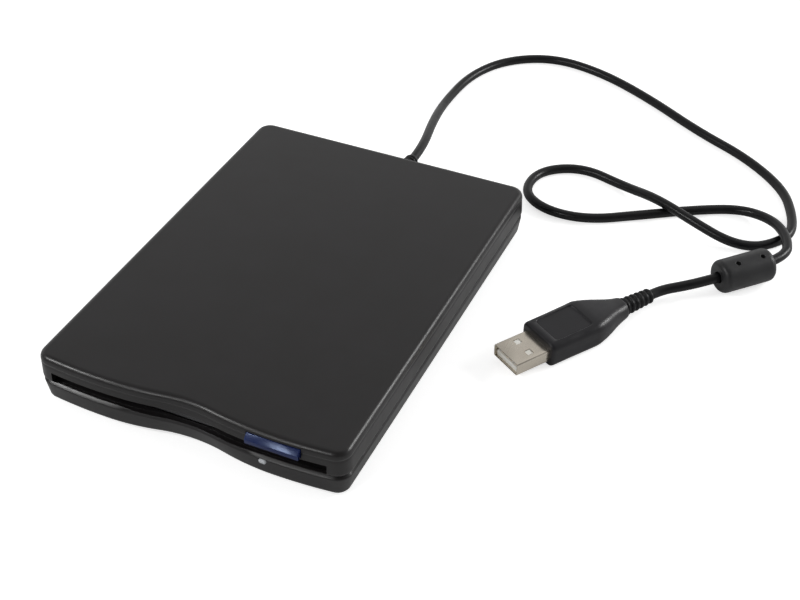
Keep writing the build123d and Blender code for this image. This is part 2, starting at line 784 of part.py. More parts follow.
# ---- Shutter lever ------------------------------------------------------
lever_in = 5.5               # the lever's pivot, in from the disk's edge
lever_behind = 22.0          # and behind the hub
lever_pivot = (disk_half - lever_in, hub_y + lever_behind)
lever_pin_radius = 1.2
lever_pin_head = 0.4         # its head, beyond its shank
lever_eye = 4.0              # radius of the lever's end round the pin
slot_room = 0.4              # around the finger
lever_reach = 28.0
lever_rest = 177.0           # the way the lever points with no disk in
lever_swing = 58.0           # it swings this far towards the back
lever_sheet = 0.4
lever_width = 5.0
lever_z = carrier_top + 0.1
finger_radius = 1.1
finger_depth = 1.8


def arc_slot(centre, radius, start, swing, half_width):
    """A slot along an arc that runs clockwise from the angle start."""
    inner = CenterArc(centre, radius - half_width, start - swing, swing)
    outer = CenterArc(centre, radius + half_width, start - swing, swing)
    sides = [Line(inner @ 0, outer @ 0), Line(inner @ 1, outer @ 1)]
    middle = CenterArc(centre, radius, start - swing, swing)
    ends = [Pos(*(middle @ t)) * Circle(half_width) for t in (0, 1)]
    return make_face(Curve() + [inner, outer] + sides) + ends


def make_lever():
    """A flat arm round its pivot, with a finger that reaches down to the disk's shutter."""
    arm = Pos(-lever_reach / 2, 0) * SlotCenterToCenter(lever_reach, lever_width)
    arm += Circle(lever_eye)
    arm -= Circle(lever_pin_radius + running)
    lever = extrude(arm, lever_sheet)
    lever += post(-lever_reach, 0, (-finger_depth, lever_sheet), finger_radius)
    return Pos(*lever_pivot, lever_z) * Rot(0, 0, lever_rest - 180) * lever


def make_lever_pin():
    low = carrier_top - sheet
    shank = post(*lever_pivot, (low, lever_z + lever_sheet + fit), lever_pin_radius)
    head_z = (lever_z + lever_sheet + running, slider_z - fit)
    return shank + post(*lever_pivot, head_z, lever_pin_radius + lever_pin_head)


# ---- Spindle ------------------------------------------------------------
motor_board_thick = 0.6
board_margin = 1.5           # the motor's board reaches this far past the rotor
board_tail = (20.0, 4.0)     # its rear part: width, and past the rotor's edge
core_above = 0.4             # core above the board
cup_above = 0.2
cup_height = 2.0
cup_sheet = 0.5
bearing_radius = 4.0
bearing_room = 0.6           # below the top of the cup
core_hub = 3.0               # the core's hub beyond the bearing
tooth_width = 2.2
shoe_width = 7.2
shoe_thick = 1.6
tooth_end = 1.2              # a tooth ends this far inside the core's edge
coil_width = 4.0
coil_ends = (3.6, 2.0)       # a coil's ends, from the bearing and from the core's edge
coil_over = 0.25             # a coil above and below the core
drive_pin_height = 1.3
shaft_chamfer = 0.4
board_z = chassis_z + motor_board_thick
core_z = (board_z + core_above, board_z + core_above + core_thick)
cup_z = (board_z + cup_above, board_z + cup_above + cup_height)
bearing_z = (board_z, cup_z[1] - bearing_room)
shaft_top = bay_floor - gap


def make_spindle_stator():
    plate = post(0, hub_y, (chassis_z, board_z), rotor_radius + board_margin)
    half = board_tail[0] / 2
    tail_y = (hub_y + rotor_radius / 2, hub_y + rotor_radius + board_tail[1])
    plate += block((-half, half), tail_y, (chassis_z, board_z))
    core = post(0, hub_y, core_z, bearing_radius + core_hub)
    coils = []
    for turn in range(coil_count):
        at = Pos(0, hub_y, 0) * Rot(0, 0, turn * 360 / coil_count)
        tooth_y = (-tooth_width / 2, tooth_width / 2)
        tooth = block((0, core_radius - tooth_end), tooth_y, core_z)
        shoe = block((core_radius - shoe_thick, core_radius), (-shoe_width / 2, shoe_width / 2), core_z)
        core += at * (tooth + shoe)
        coil_x = (bearing_radius + coil_ends[0], core_radius - coil_ends[1])
        coil_z = (core_z[0] - coil_over, core_z[1] + coil_over)
        coil = block(coil_x, (-coil_width / 2, coil_width / 2), coil_z)
        coils.append(at * (coil - block((0, core_radius), tooth_y, core_z)))
    core &= post(0, hub_y, core_z, core_radius)
    core -= post(0, hub_y, core_z, bearing_radius)
    bearing = post(0, hub_y, bearing_z, bearing_radius)
    bearing -= post(0, hub_y, bearing_z, shaft_radius + running)
    return plate, core, coils, bearing


def make_rotor():
    cup = post(0, hub_y, cup_z, rotor_radius)
    cup -= post(0, hub_y, (cup_z[0], cup_z[1] - cup_sheet), rotor_radius - rotor_rim)
    cup += post(0, hub_y, (cup_z[1], cup_z[1] + turntable_thick), turntable_radius)
    cup -= post(0, hub_y, cup_z, shaft_radius)
    cup -= post(0, hub_y, (cup_z[1], shaft_top), shaft_radius)
    magnet = post(0, hub_y, (cup_z[0] + fit, cup_z[1] - cup_sheet), rotor_radius - rotor_rim)
    magnet -= post(0, hub_y, cup_z, rotor_radius - rotor_rim - magnet_thick)
    shaft = post(0, hub_y, (board_z + fit, shaft_top), shaft_radius)
    shaft = chamfer(shaft.edges().group_by(Axis.Z)[-1], shaft_chamfer)
    top = cup_z[1] + turntable_thick
    drive_pin = post(drive_pin_out, hub_y, (top, top + drive_pin_height), drive_pin_radius)
    return cup, magnet, shaft, drive_pin


# ---- Heads --------------------------------------------------------------
base_below = 0.35            # the carriage's slab below a loaded disk
tower_front = 3.2            # its tower starts this far in front of the hinge
tower_half = 5.6
arm_half = 4.0
hinge_pin_radius = 0.8
lead_pin_front = 1.0         # the lead pin, in front of the hinge
lead_pin_radius = lead_pitch / 6
lead_pin_out = 1.0           # it stands this far out of its carrier
lead_arm = (1.8, 1.0)        # the carriage's arm to the screw: width, and above the screw's axis
barrel_radius = 1.5
arm_above = 0.45             # the arm above a loaded disk
arm_sheet = 0.5
arm_web_back = 2.5           # the arm's web stands this far in front of its hinge
arm_front = 3.0              # the arm reaches this far in front of its head
head_sheet = 0.5             # thickness of the lower head
head_room = 0.1              # between the two heads on a disk
window_half = 4.2            # half the width of the carriage's part under the disk's window
window_reach = (4.0, 8.0)    # which starts in front of the head and ends behind it
window_sink = 0.8
rod_side = 3.4               # the slab reaches this far past the rod
rib_sink = 1.0               # the tower's foot inside the slab
base_top = loaded_disk_z - base_below
tower_y = (hinge_y - tower_front, slab_y[1])
lead_pin_y = hinge_y - lead_pin_front
arm_underside = loaded_disk_z + disk_thick + arm_above
lower_head_top = loaded_disk_z + disk_thick / 2


def make_carriage():
    base = block((rod_x - rod_side, tower_half), slab_y, (chassis_z + gap, base_top))
    window_y = (head_y - window_reach[0], head_y + window_reach[1])
    window_z = (base_top - window_sink, lower_head_top - head_sheet)
    base += block((-window_half, window_half), window_y, window_z)
    under_barrel = (hinge_y - arm_web_back + gap, slab_y[1])
    foot = base_top - rib_sink
    base += block((-tower_half, tower_half), under_barrel, (foot, hinge_z - barrel_radius - gap))
    ear = block((arm_half + gap, tower_half), tower_y, (foot, hinge_z + barrel_radius))
    base += both_sides(ear)
    reach = screw_x - lead_radius - lead_pin_out
    arm_y = (lead_pin_y - lead_arm[0] / 2, lead_pin_y + lead_arm[0] / 2)
    base += block((0, reach), arm_y, (foot, motor_z + lead_arm[1]))
    base -= bar_y(rod_x, rod_z, (0, case_depth), rod_radius + running)
    base -= bar_x(hinge_y, hinge_z, (-case_width, case_width), hinge_pin_radius)
    lead_pin = bar_x(lead_pin_y, motor_z, (reach, screw_x - lead_radius - running), lead_pin_radius)
    lower_head = block(
        (-head_size / 2, head_size / 2),
        (head_y - head_size / 2, head_y + head_size / 2),
        (lower_head_top - head_sheet, lower_head_top),
    )
    hinge_pin = bar_x(hinge_y, hinge_z, (-tower_half, tower_half), hinge_pin_radius)
    return base, lead_pin, lower_head, hinge_pin


def make_upper_arm():
    """The arm level, as it lies on a disk, then turned up about its hinge."""
    hinge = Axis((0, hinge_y, hinge_z), (1, 0, 0))
    front = head_y - arm_front
    plate_z = (arm_underside, arm_underside + arm_sheet)
    web_y = (hinge_y - arm_web_back - arm_sheet, hinge_y - arm_web_back)
    arm = block((-arm_half, arm_half), (front, web_y[1]), plate_z)
    arm += block((-arm_half, arm_half), web_y, (arm_underside, hinge_z))
    arm += bar_x(hinge_y, hinge_z, (-arm_half, arm_half), barrel_radius)
    arm += block((-arm_half, arm_half), (web_y[0], hinge_y), (hinge_z - arm_sheet, hinge_z))
    arm -= bar_x(hinge_y, hinge_z, (-case_width, case_width), hinge_pin_radius + running)
    head = block(
        (-head_size / 2, head_size / 2),
        (head_y - head_size / 2, head_y + head_size / 2),
        (lower_head_top + head_room, arm_underside),
    )
    return [piece.rotate(hinge, -lift_angle) for piece in (arm, head)]


# ---- Head drive ---------------------------------------------------------
bracket_behind = 1.0         # the bracket starts this far behind the disk
bracket_sheet = 0.7
pivot_radius = 0.8
pivot_reach = 2.0            # the screw's rear pivot inside the motor
pivot_room = 0.3             # beyond its end
screw_room = 0.2             # between the screw and the bracket's ears
motor_round = 0.5
bracket_y = (lead_y + bracket_behind, motor_y[0])


def make_head_drive():
    ear_top = motor_z + motor_radius
    x = (screw_x - motor_radius, screw_x + motor_radius)
    bracket = block(x, bracket_y, (chassis_z, chassis_z + bracket_sheet))
    for y in (bracket_y[0], bracket_y[1] - bracket_sheet):
        ear = block(x, (y, y + bracket_sheet), (chassis_z, ear_top))
        bracket += ear - bar_y(screw_x, motor_z, (y - 1, y + 2), pivot_radius + running)
    end = bracket_sheet + screw_room
    screw_y = (bracket_y[0] + end, bracket_y[1] - end)
    screw = bar_y(screw_x, motor_z, screw_y, lead_radius)
    screw += bar_y(screw_x, motor_z, (bracket_y[0], bracket_y[1] + pivot_reach), pivot_radius)
    motor = bar_y(screw_x, motor_z, motor_y, motor_radius)
    motor = fillet(motor.edges().group_by(Axis.Y)[-1], motor_round)
    bore = (motor_y[0], motor_y[0] + pivot_reach + pivot_room)
    motor -= bar_y(screw_x, motor_z, bore, pivot_radius + running)
    rod = bar_y(rod_x, rod_z, rod_ends, rod_radius)
    return bracket, screw, motor, rod


# ---- Springs ------------------------------------------------------------
def make_springs():
    slider_springs = []
    for side in (-1, 1):
        x = side * spring_x
        tube = bar_y(x, spring_z, (spring_front, spring_back - gap), spring_radius)
        bore = bar_y(x, spring_z, (spring_front, spring_back), spring_radius - spring_wire)
        slider_springs.append(tube - bore)
    return slider_springs


# ---- Cord ---------------------------------------------------------------
cord_route = [
    (cord_x, relief_end, cord_z),
    (cord_x, relief_end + 9.0, cord_z),
    (-2.5, 116.0, 6.0),
    (-6.5, 138.0, on_table),
    (-5.0, 161.0, on_table),
    (4.0, 178.5, on_table),
    (21.5, 188.5, on_table),
    (43.5, 185.0, on_table),
    (67.0, 173.5, on_table),
    (91.0, 158.0, on_table),
    (112.3, 147.6, on_table),
    (129.5, 132.8, on_table),
    (136.1, 117.5, on_table),
    (137.9, 106.5, on_table),
    (133.4, 98.8, on_table),
    (127.3, 93.7, on_table),
    (118.6, 91.9, 2.8),
    (107.2, 94.3, 5.0),
    (90.5, 102.5, over_cord),
    (76.0, 110.5, on_table),
    (58.5, 116.0, on_table),
    (44.4, 107.5, on_table),
    (43.4, 92.5, on_table),
    (54.0, 84.5, on_table),
    (70.0, 85.0, on_table),
    (87.0, 96.0, on_table),
    (103.5, 107.0, on_table),
    (118.5, 114.5, on_table),
    (130.8, 108.6, 4.4),
    (137.6, 98.9, over_cord),
    (140.0, 86.9, bead_z),
    (118.3, 63.5, bead_z),
    (113.1, 61.3, 5.0),
    (107.3, 57.1, plug_z),
    (103.2, 50.7, plug_z),
]
bead_offset = 16.6               # the bead's middle, along the run that it sits on


def fillet_radii(points):
    """The largest arcs that the runs beside each corner leave room for."""
    radii = []
    for before, corner, after in zip(points, points[1:], points[2:]):
        into, out = corner - before, after - corner
        turn = radians(into.get_angle(out))
        radii.append(0.45 * min(into.length, out.length) / tan(turn / 2))
    return radii


def sweep_cord(points, radius):
    radii = fillet_radii(points)
    path = FilletPolyline(*points, radius=radii)
    start = Plane(origin=path @ 0, z_dir=path % 0)
    tube = sweep(start * Circle(radius), path=path)
    print("cord radii", [round(r, 1) for r in radii])
    print("cord length", round(path.length, 1), "volume ratio",
          round(tube.volume / (Circle(radius).area * path.length), 4))
    return tube


def make_relief():
    """The grommet in the back wall and its tapered strain relief, turned about the cord."""
    inner = inner_back - flange_thick
    neck = relief_root - fit
    collar = (back_y + fit, back_y + collar_thick)
    profile = [
        (inner, 0), (inner, flange_radius), (inner_back - fit, flange_radius),
        (inner_back - fit, neck), (collar[0], neck), (collar[0], collar_radius),
        (collar[1], collar_radius), (collar[1] + collar_radius - relief_root, relief_root),
        (relief_end, relief_tip), (relief_end, 0),
    ]
    face = make_face(Polyline([(r, y) for y, r in profile], close=True))
    return Pos(cord_x, 0, cord_z) * revolve(face, Axis.Y)


def make_bead():
    start, end = (Vector(*point) for point in cord_route[-5:-3])     # the run that the bead sits on
    along = end - start
    bead = Cylinder(bead_radius, bead_length)
    bead = fillet(bead.edges().filter_by(GeomType.CIRCLE), bead_round)
    bead -= Cylinder(cord_radius + fit, 2 * bead_length)
    middle = start + along.normalized() * bead_offset
    return Plane(origin=middle, z_dir=along) * bead


tail_radius = 1.4
tail_length = 5.0
connector_half = 4.0         # half its width
connector_depth = 4.0
connector_above = 0.2        # above the tail


def make_cord_tail():
    """The lead from the grommet to its connector on the board inside."""
    end = inner_back - flange_thick
    socket_y = (end - tail_length - connector_depth, end - tail_length)
    tail = bar_y(cord_x, cord_z, (socket_y[1], end), tail_radius)
    socket_z = (standoff_top + board_sheet, cord_z + tail_radius + connector_above)
    return tail, block((cord_x - connector_half, cord_x + connector_half), socket_y, socket_z)


def make_plug():
    """The plug along +Y from its mouth at y = 0, then laid on the table at its place."""
    half_w, half_h = plug_shell_width / 2, plug_shell_height / 2
    length = plug_shell_length + shell_inside
    outside = (2 * half_w, 2 * half_h, shell_round)
    shell = rect_loft([(0, *outside), (length, *outside)])
    inside_w, inside_h = 2 * (half_w - plug_shell_wall), 2 * (half_h - plug_shell_wall)
    inside = (inside_w, inside_h, shell_round_in)
    shell -= rect_loft([(-1, *inside), (length + 1, *inside)])
    for x in (-latch_x, latch_x):
        latch = (x - latch_width / 2, x + latch_width / 2)
        shell -= block(latch, latch_y, (0, plug_height))
        shell -= block(latch, latch_y, (-plug_height, 0))
    tongue_top = tongue_thick - inside_h / 2
    across = (-inside_w / 2 + tongue_side, inside_w / 2 - tongue_side)
    insulator = block(across, (tongue_front, length), (-inside_h / 2, tongue_top))
    insulator += block(across, (tongue_block, length), (-inside_h / 2, inside_h / 2))
    contact_z = (tongue_top, tongue_top + contact_thick)
    contacts = [
        block((x - contact_width / 2, x + contact_width / 2), contact_y, contact_z) for x in contact_places
    ]
    front = plug_shell_length
    neck = front + plug_block
    end = neck + plug_neck
    full = (plug_width, plug_height, plug_round)
    narrower, lower, front_round = plug_front
    face = (plug_width - narrower, plug_height - lower, front_round)
    body = rect_loft([(front, *face), (front + plug_bevel, *full), (neck, *full)])
    body += rect_loft([(neck, *full), (end, neck_width, neck_height, plug_round)])
    body -= rect_loft([(front - 1, *outside), (length, *outside)])
    for side in (-1, 1):
        x = plug_width / 2 - grip_in
        z = sorted((side * (plug_height / 2 - grip_depth), side * plug_height))
        body -= block((-x, x), (front + grip_front, neck - grip_back), z)
    rings = [(end, 0), (end, plug_relief_radius)]
    step = plug_relief_length / plug_rings
    for ring in range(plug_rings):
        start = end + ring * step
        radius = plug_relief_radius - ring * ring_taper
        rings += [(start + step * ring_share, radius), (start + step * ring_share, radius - ring_depth)]
        if ring < plug_rings - 1:
            rings += [(start + step, radius - ring_depth), (start + step, radius - ring_taper)]
    length = end + plug_relief_length
    rings += [(length, radius - ring_depth), (length, 0)]
    relief = revolve(make_face(Polyline([(r, y) for y, r in rings], close=True)), Axis.Y)
    cord_end = Vector(*cord_route[-1])
    way = Vector(*cord_route[-2]) - cord_end
    tip = cord_end - way.normalized() * length
    place = Plane(origin=tip, x_dir=way.cross(Vector(0, 0, 1)), z_dir=(0, 0, 1)).location
    pieces = {
        "plug_shell": shell,
        "plug_insulator": insulator,
        "plug_contacts": contacts,
        "plug_overmould": body,
        "plug_relief": relief,
    }
    return {node: [place * solid for solid in solids] if isinstance(solids, list) else place * solids
            for node, solids in pieces.items()}


# ---- All the pieces -----------------------------------------------------
def make_pieces():
    pieces = make_case_pieces()
    pieces["slot_door"], pieces["door_ears"] = make_door_pieces()
    pieces["chassis"], pieces["chassis_sides"] = make_chassis()
    pieces["chassis_screws"] = [
        make_screw(x, y, chassis_z + chassis_screw_head, chassis_screw_reach, screw_radius - fit,
                   chassis_screw_head_radius, chassis_screw_head, turned=True)
        for x, y in chassis_screw_places
    ]
    pieces.update(make_boards())
    pieces["disk_switches"], pieces["activity_lamp"] = make_front_parts()
    pieces["slider_plate"], pieces["slider_flanges"], pieces["slider_tabs"] = make_slider()
    pieces["eject_button"] = make_button()
    pieces["disk_carrier"], pieces["carrier_rails"] = make_carrier()
    pieces["carrier_pins"] = make_carrier_pins()
    pieces["shutter_lever"] = make_lever()
    pieces["lever_pin"] = make_lever_pin()
    stator = make_spindle_stator()
    pieces["motor_board"], pieces["stator_core"], pieces["stator_coils"], pieces["spindle_bearing"] = stator
    rotor = make_rotor()
    pieces["rotor_cup"], pieces["rotor_magnet"], pieces["spindle_shaft"], pieces["drive_pin"] = rotor
    carriage = make_carriage()
    pieces["head_carriage"], pieces["lead_pin"], pieces["lower_head"], pieces["hinge_pin"] = carriage
    pieces["head_arm"], pieces["upper_head"] = make_upper_arm()
    drive = make_head_drive()
    pieces["screw_bracket"], pieces["lead_screw"], pieces["stepper_motor"], pieces["guide_rod"] = drive
    pieces["slider_springs"] = make_springs()
    pieces["cord_relief"] = make_relief()
    pieces["usb_cord"] = sweep_cord([Vector(*point) for point in cord_route], cord_radius)
    pieces["ferrite_bead"] = make_bead()
    pieces["cord_tail"], pieces["cord_connector"] = make_cord_tail()
    pieces.update(make_plug())
    return pieces


os.makedirs("parts", exist_ok=True)
for node, solids in make_pieces().items():
    shape = Compound(children=solids) if isinstance(solids, list) else solids
    export_step(shape, f"parts/{node}.step")
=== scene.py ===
import math
import bmesh
import bpy
from mathutils import Matrix, Vector


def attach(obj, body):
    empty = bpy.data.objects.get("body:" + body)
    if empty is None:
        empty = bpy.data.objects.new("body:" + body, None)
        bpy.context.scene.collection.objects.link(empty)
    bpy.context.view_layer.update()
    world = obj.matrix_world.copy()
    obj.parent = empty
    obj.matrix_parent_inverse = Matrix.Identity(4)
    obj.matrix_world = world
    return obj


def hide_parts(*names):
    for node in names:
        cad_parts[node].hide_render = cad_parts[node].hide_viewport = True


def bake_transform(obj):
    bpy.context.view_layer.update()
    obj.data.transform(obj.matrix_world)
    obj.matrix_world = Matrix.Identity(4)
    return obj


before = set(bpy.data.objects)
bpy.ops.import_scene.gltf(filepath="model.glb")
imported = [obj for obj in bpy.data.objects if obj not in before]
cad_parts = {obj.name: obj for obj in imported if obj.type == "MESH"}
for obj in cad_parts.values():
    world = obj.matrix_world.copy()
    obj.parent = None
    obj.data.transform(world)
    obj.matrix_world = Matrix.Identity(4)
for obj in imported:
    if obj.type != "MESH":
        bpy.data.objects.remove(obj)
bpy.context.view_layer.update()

# External floppy drive. +Z is up, and +Y runs towards the back, where the cord leaves.
# Sizes and places are in mm, unless a note says otherwise. Blender's own objects are in metres.
mm = 0.001
scene = bpy.context.scene
scene.view_settings.view_transform = "Standard"
clear = 0.01  # keeps surfaces out of one plane


def addObject(name, data):
    thing = bpy.data.objects.new(name, data)
    scene.collection.objects.link(thing)
    return thing


# Camera. Angles are in degrees, target and distance in metres, and lens and sensor in mm.

shot = {"azimuth": 24.232, "elevation": 39.437, "roll": 0.26, "distance": 0.43166,
        "target": (0.03685, -0.00156, 0.01828), "lens": 62.64, "sensor": 36, "nearest": 0.01}


def placeCamera():
    turn = (Matrix.Rotation(math.radians(shot["azimuth"]), 4, "Z")
            @ Matrix.Rotation(math.radians(90 - shot["elevation"]), 4, "X")
            @ Matrix.Rotation(math.radians(shot["roll"]), 4, "Z"))
    camera = addObject("camera", bpy.data.cameras.new("camera"))
    camera.data.sensor_width = shot["sensor"]
    camera.data.lens = shot["lens"]
    camera.data.clip_start = shot["nearest"]
    back = Matrix.Translation((0, 0, shot["distance"]))
    camera.matrix_world = Matrix.Translation(shot["target"]) @ turn @ back
    scene.camera = camera


placeCamera()
print("camera placed")


# Node tools. An input gets a value, or a link where it is given another node's socket.

def fill(tree, node, inputs):
    for socket, value in inputs.items():
        if isinstance(value, bpy.types.NodeSocket):
            tree.links.new(value, node.inputs[socket])
        else:
            node.inputs[socket].default_value = value
    return node


def addNode(tree, kind, inputs=None, **settings):
    node = tree.nodes.new(kind)
    for setting, value in settings.items():
        setattr(node, setting, value)
    return fill(tree, node, inputs or {})


def combine(tree, operation, first, second):
    return addNode(tree, "ShaderNodeMath", {0: first, 1: second}, operation=operation).outputs["Value"]


def mapTo(tree, source, low, high, start=0.35, end=0.65):
    ends = {"From Min": start, "From Max": end, "To Min": low, "To Max": high}
    return addNode(tree, "ShaderNodeMapRange", {"Value": source, **ends}).outputs["Result"]


def axesOf(tree, coordinates):
    place = addNode(tree, "ShaderNodeTexCoord").outputs[coordinates]
    return addNode(tree, "ShaderNodeSeparateXYZ", {"Vector": place}).outputs


# Finishes

def srgb(colour):  # from 0 to 255, as a screen shows it, to the shader's own scale
    def straight(value):
        return value / 12.92 if value <= 0.04045 else ((value + 0.055) / 1.055) ** 2.4
    return (*(straight(part / 255) for part in colour), 1)


def startFinish(name, inputs):
    material = bpy.data.materials.new(name)
    material.use_nodes = True
    tree = material.node_tree
    tree.nodes.clear()
    skin = addNode(tree, "ShaderNodeBsdfPrincipled", inputs)
    addNode(tree, "ShaderNodeOutputMaterial", {"Surface": skin.outputs["BSDF"]})
    return material, tree, skin


def speckle(tree, scale, detail=3, stretch=(1, 1, 1)):
    place = addNode(tree, "ShaderNodeTexCoord").outputs["Object"]
    stretched = addNode(tree, "ShaderNodeMapping", {"Vector": place, "Scale": stretch}).outputs["Vector"]
    noise = {"Vector": stretched, "Scale": scale, "Detail": detail}
    return addNode(tree, "ShaderNodeTexNoise", noise).outputs["Fac"]


def mixColours(tree, share, first, second):
    node = addNode(tree, "ShaderNodeMix", {"Factor": share}, data_type="RGBA")
    ends = [k for k, socket in enumerate(node.inputs) if socket.type == "RGBA"]
    fill(tree, node, dict(zip(ends, (first, second))))
    return [socket for socket in node.outputs if socket.type == "RGBA"][0]


def patches(tree, look):
    share = mapTo(tree, speckle(tree, look["patch"], look["patchDetail"]), 0, 1)
    return mixColours(tree, share, srgb(look["dark"]), srgb(look["light"]))


def edgeShare(tree, radius, span=(0.75, 0.98)):  # how far an edge's rounded normal turns from the flat one
    rounded = addNode(tree, "ShaderNodeBevel", {"Radius": radius * mm}, samples=4).outputs["Normal"]
    flat = addNode(tree, "ShaderNodeNewGeometry").outputs["Normal"]
    agree = addNode(tree, "ShaderNodeVectorMath", {0: rounded, 1: flat}, operation="DOT_PRODUCT")
    return mapTo(tree, agree.outputs["Value"], 1, 0, *span), rounded


def bump(tree, height, depth, strength=1, **more):
    inputs = {"Height": height, "Distance": depth * mm, "Strength": strength, **more}
    return addNode(tree, "ShaderNodeBump", inputs).outputs["Normal"]


# "along" stretches the grain, as on rolled or turned metal.
plainLook = {"metal": 0, "shine": 0.5, "tint": (255, 255, 255), "along": (1, 1, 1),
             "patchDetail": 4, "finePatch": 3.1, "grainDetail": 2, "grainStrength": 0.6}


# Colour runs from dark to light in patches, rough is a range, grain has its scale and depth, and edges have
# their radius and a lighter colour, which is partly wear and partly a painted highlight along every edge.
def lookOf(dark, light, patch, rough, grain, edgeWearAndHighlight=None, **own):
    return {**plainLook, "dark": dark, "light": light, "patch": patch, "rough": rough, "grain": grain,
            "edgeWearAndHighlight": edgeWearAndHighlight, **own}


looks = {
    "casePlastic": lookOf((22, 20, 20), (25, 23, 24), 70, (0.3, 0.34), (2600, 0.008),
        (0.25, (40, 39, 39)), shine=0.4),
    # The door's mid grey is painted light: its real plastic is dark, and the lighter grey stands in for light
    # in the shaded slot.
    "doorPlastic": lookOf((78, 78, 80), (88, 88, 90), 80, (0.4, 0.5), (2000, 0.02), (0.2, (104, 104, 106))),
    "buttonPlastic": lookOf((9, 21, 66), (12, 27, 78), 120, (0.2, 0.24), (2200, 0.008),
        (0.25, (74, 98, 160)), tint=(200, 218, 255)),
    "footRubber": lookOf((24, 24, 24), (36, 35, 34), 300, (0.75, 0.9), (3200, 0.06), (0.3, (52, 50, 48))),
    "cordJacket": lookOf((11, 11, 13), (16, 16, 18), 160, (0.28, 0.38), (1500, 0.02), shine=0.3),
    "reliefRubber": lookOf((11, 11, 13), (17, 17, 19), 200, (0.36, 0.46), (1800, 0.02),
        (0.2, (40, 40, 43)), shine=0.3),
    "beadPlastic": lookOf((34, 34, 35), (42, 42, 43), 140, (0.36, 0.46), (1600, 0.02),
        (0.3, (70, 70, 72)), shine=0.35),
    "plugPlastic": lookOf((17, 16, 19), (23, 22, 26), 110, (0.3, 0.42), (1700, 0.02), (0.3, (56, 54, 60)),
        shine=0.36),
    "shellSteel": lookOf((202, 194, 181), (212, 204, 191), 90, (0.24, 0.28), (900, 0.002),
        along=(1, 0.08, 1), metal=1),
    "contactGold": lookOf((206, 160, 78), (230, 190, 104), 300, (0.18, 0.3), (1600, 0.004), metal=1),
    "tonguePlastic": lookOf((226, 223, 214), (240, 238, 231), 160, (0.35, 0.45), (1800, 0.01),
        (0.1, (246, 245, 240))),
    "screwBlack": lookOf((40, 40, 42), (58, 58, 60), 500, (0.3, 0.45), (2400, 0.01),
        (0.12, (120, 118, 114)), metal=0.9),
    "screwZinc": lookOf((176, 178, 180), (204, 204, 202), 500, (0.25, 0.4), (1800, 0.008),
        (0.12, (225, 224, 220)), metal=1),
    "rolledSteel": lookOf((172, 175, 177), (186, 188, 188), 90, (0.3, 0.37), (700, 0.01),
        (0.15, (222, 222, 220)), along=(1, 0.06, 1), metal=1),
    "turnedSteel": lookOf((150, 152, 156), (196, 197, 199), 220, (0.16, 0.3), (1500, 0.006),
        (0.1, (230, 230, 230)), along=(0.1, 1, 1), metal=1),
    "darkSteel": lookOf((74, 76, 80), (98, 100, 103), 120, (0.3, 0.45), (900, 0.01),
        (0.12, (150, 150, 150)), metal=1),
    "motorCan": lookOf((170, 172, 176), (200, 202, 204), 90, (0.22, 0.34), (900, 0.008),
        (0.15, (228, 228, 226)), along=(1, 0.05, 1), metal=1),
    "bearingBrass": lookOf((172, 132, 70), (200, 160, 92), 150, (0.25, 0.38), (1400, 0.006),
        (0.1, (226, 192, 120)), metal=1),
    "magnetRubber": lookOf((44, 40, 38), (58, 53, 50), 200, (0.6, 0.75), (2200, 0.03), (0.15, (80, 74, 70))),
    "headCeramic": lookOf((198, 188, 164), (216, 207, 186), 260, (0.25, 0.35), (2600, 0.006),
        (0.15, (232, 226, 210))),
    "carriagePlastic": lookOf((30, 30, 31), (42, 42, 43), 130, (0.5, 0.62), (1300, 0.03),
        (0.2, (64, 64, 65))),
    "chipEpoxy": lookOf((28, 28, 29), (38, 38, 39), 300, (0.5, 0.65), (3000, 0.02), (0.1, (56, 56, 57))),
    "socketNylon": lookOf((206, 200, 184), (224, 219, 206), 200, (0.4, 0.5), (1800, 0.015),
        (0.15, (236, 232, 222))),
    "switchPlastic": lookOf((40, 40, 42), (52, 52, 54), 220, (0.4, 0.52), (1900, 0.015),
        (0.15, (76, 76, 78))),
    "labelFilm": lookOf((156, 158, 160), (162, 164, 166), 110, (0.4, 0.44), (1600, 0.006), metal=0.35),
}


def makeLook(name, look):
    material, tree, skin = startFinish(name, {
        "Metallic": look["metal"], "Specular IOR Level": look["shine"], "Specular Tint": srgb(look["tint"])})
    colour, under = patches(tree, look), {}
    # Every edge is mixed towards a lighter colour: partly wear, partly a painted highlight along the edge.
    if look["edgeWearAndHighlight"]:
        radius, wearAndHighlightColour = look["edgeWearAndHighlight"]
        share, under["Normal"] = edgeShare(tree, radius)
        colour = mixColours(tree, share, colour, srgb(wearAndHighlightColour))
    scale, depth = look["grain"]
    grain = speckle(tree, scale, look["grainDetail"], look["along"])
    fine = speckle(tree, look["patch"] * look["finePatch"], stretch=look["along"])
    fill(tree, skin, {"Base Color": colour, "Roughness": mapTo(tree, fine, *look["rough"]),
                      "Normal": bump(tree, grain, depth, look["grainStrength"], **under)})
    return material


lensLook = {"colour": (226, 230, 234), "rough": (0.2, 0.4), "patch": 600, "through": 0.25, "index": 1.49,
            "grain": (1400, 0.01, 0.3)}


def makeLens():
    look = lensLook
    material, tree, skin = startFinish("lensAcrylic", {
        "Base Color": srgb(look["colour"]), "Transmission Weight": look["through"], "IOR": look["index"]})
    scale, depth, strength = look["grain"]
    fill(tree, skin, {"Roughness": mapTo(tree, speckle(tree, look["patch"]), *look["rough"]),
                      "Normal": bump(tree, speckle(tree, scale), depth, strength)})
    return material


# Tracks run one way in one half of the board's regions, and the other way in the rest.
boardLook = {"dark": (18, 74, 42), "light": (26, 92, 52), "patch": 90, "patchDetail": 3, "coat": (0.4, 0.15),
             "track": (44, 118, 68), "trackStep": 1.3, "trackWidth": 0.32, "trackRise": (0.03, 0.5),
             "region": 110, "border": (0.49, 0.5),
             "pad": (196, 184, 140), "padStep": 3.4, "padWidth": 0.35, "fade": 0.8, "rough": (0.42, 0.2)}


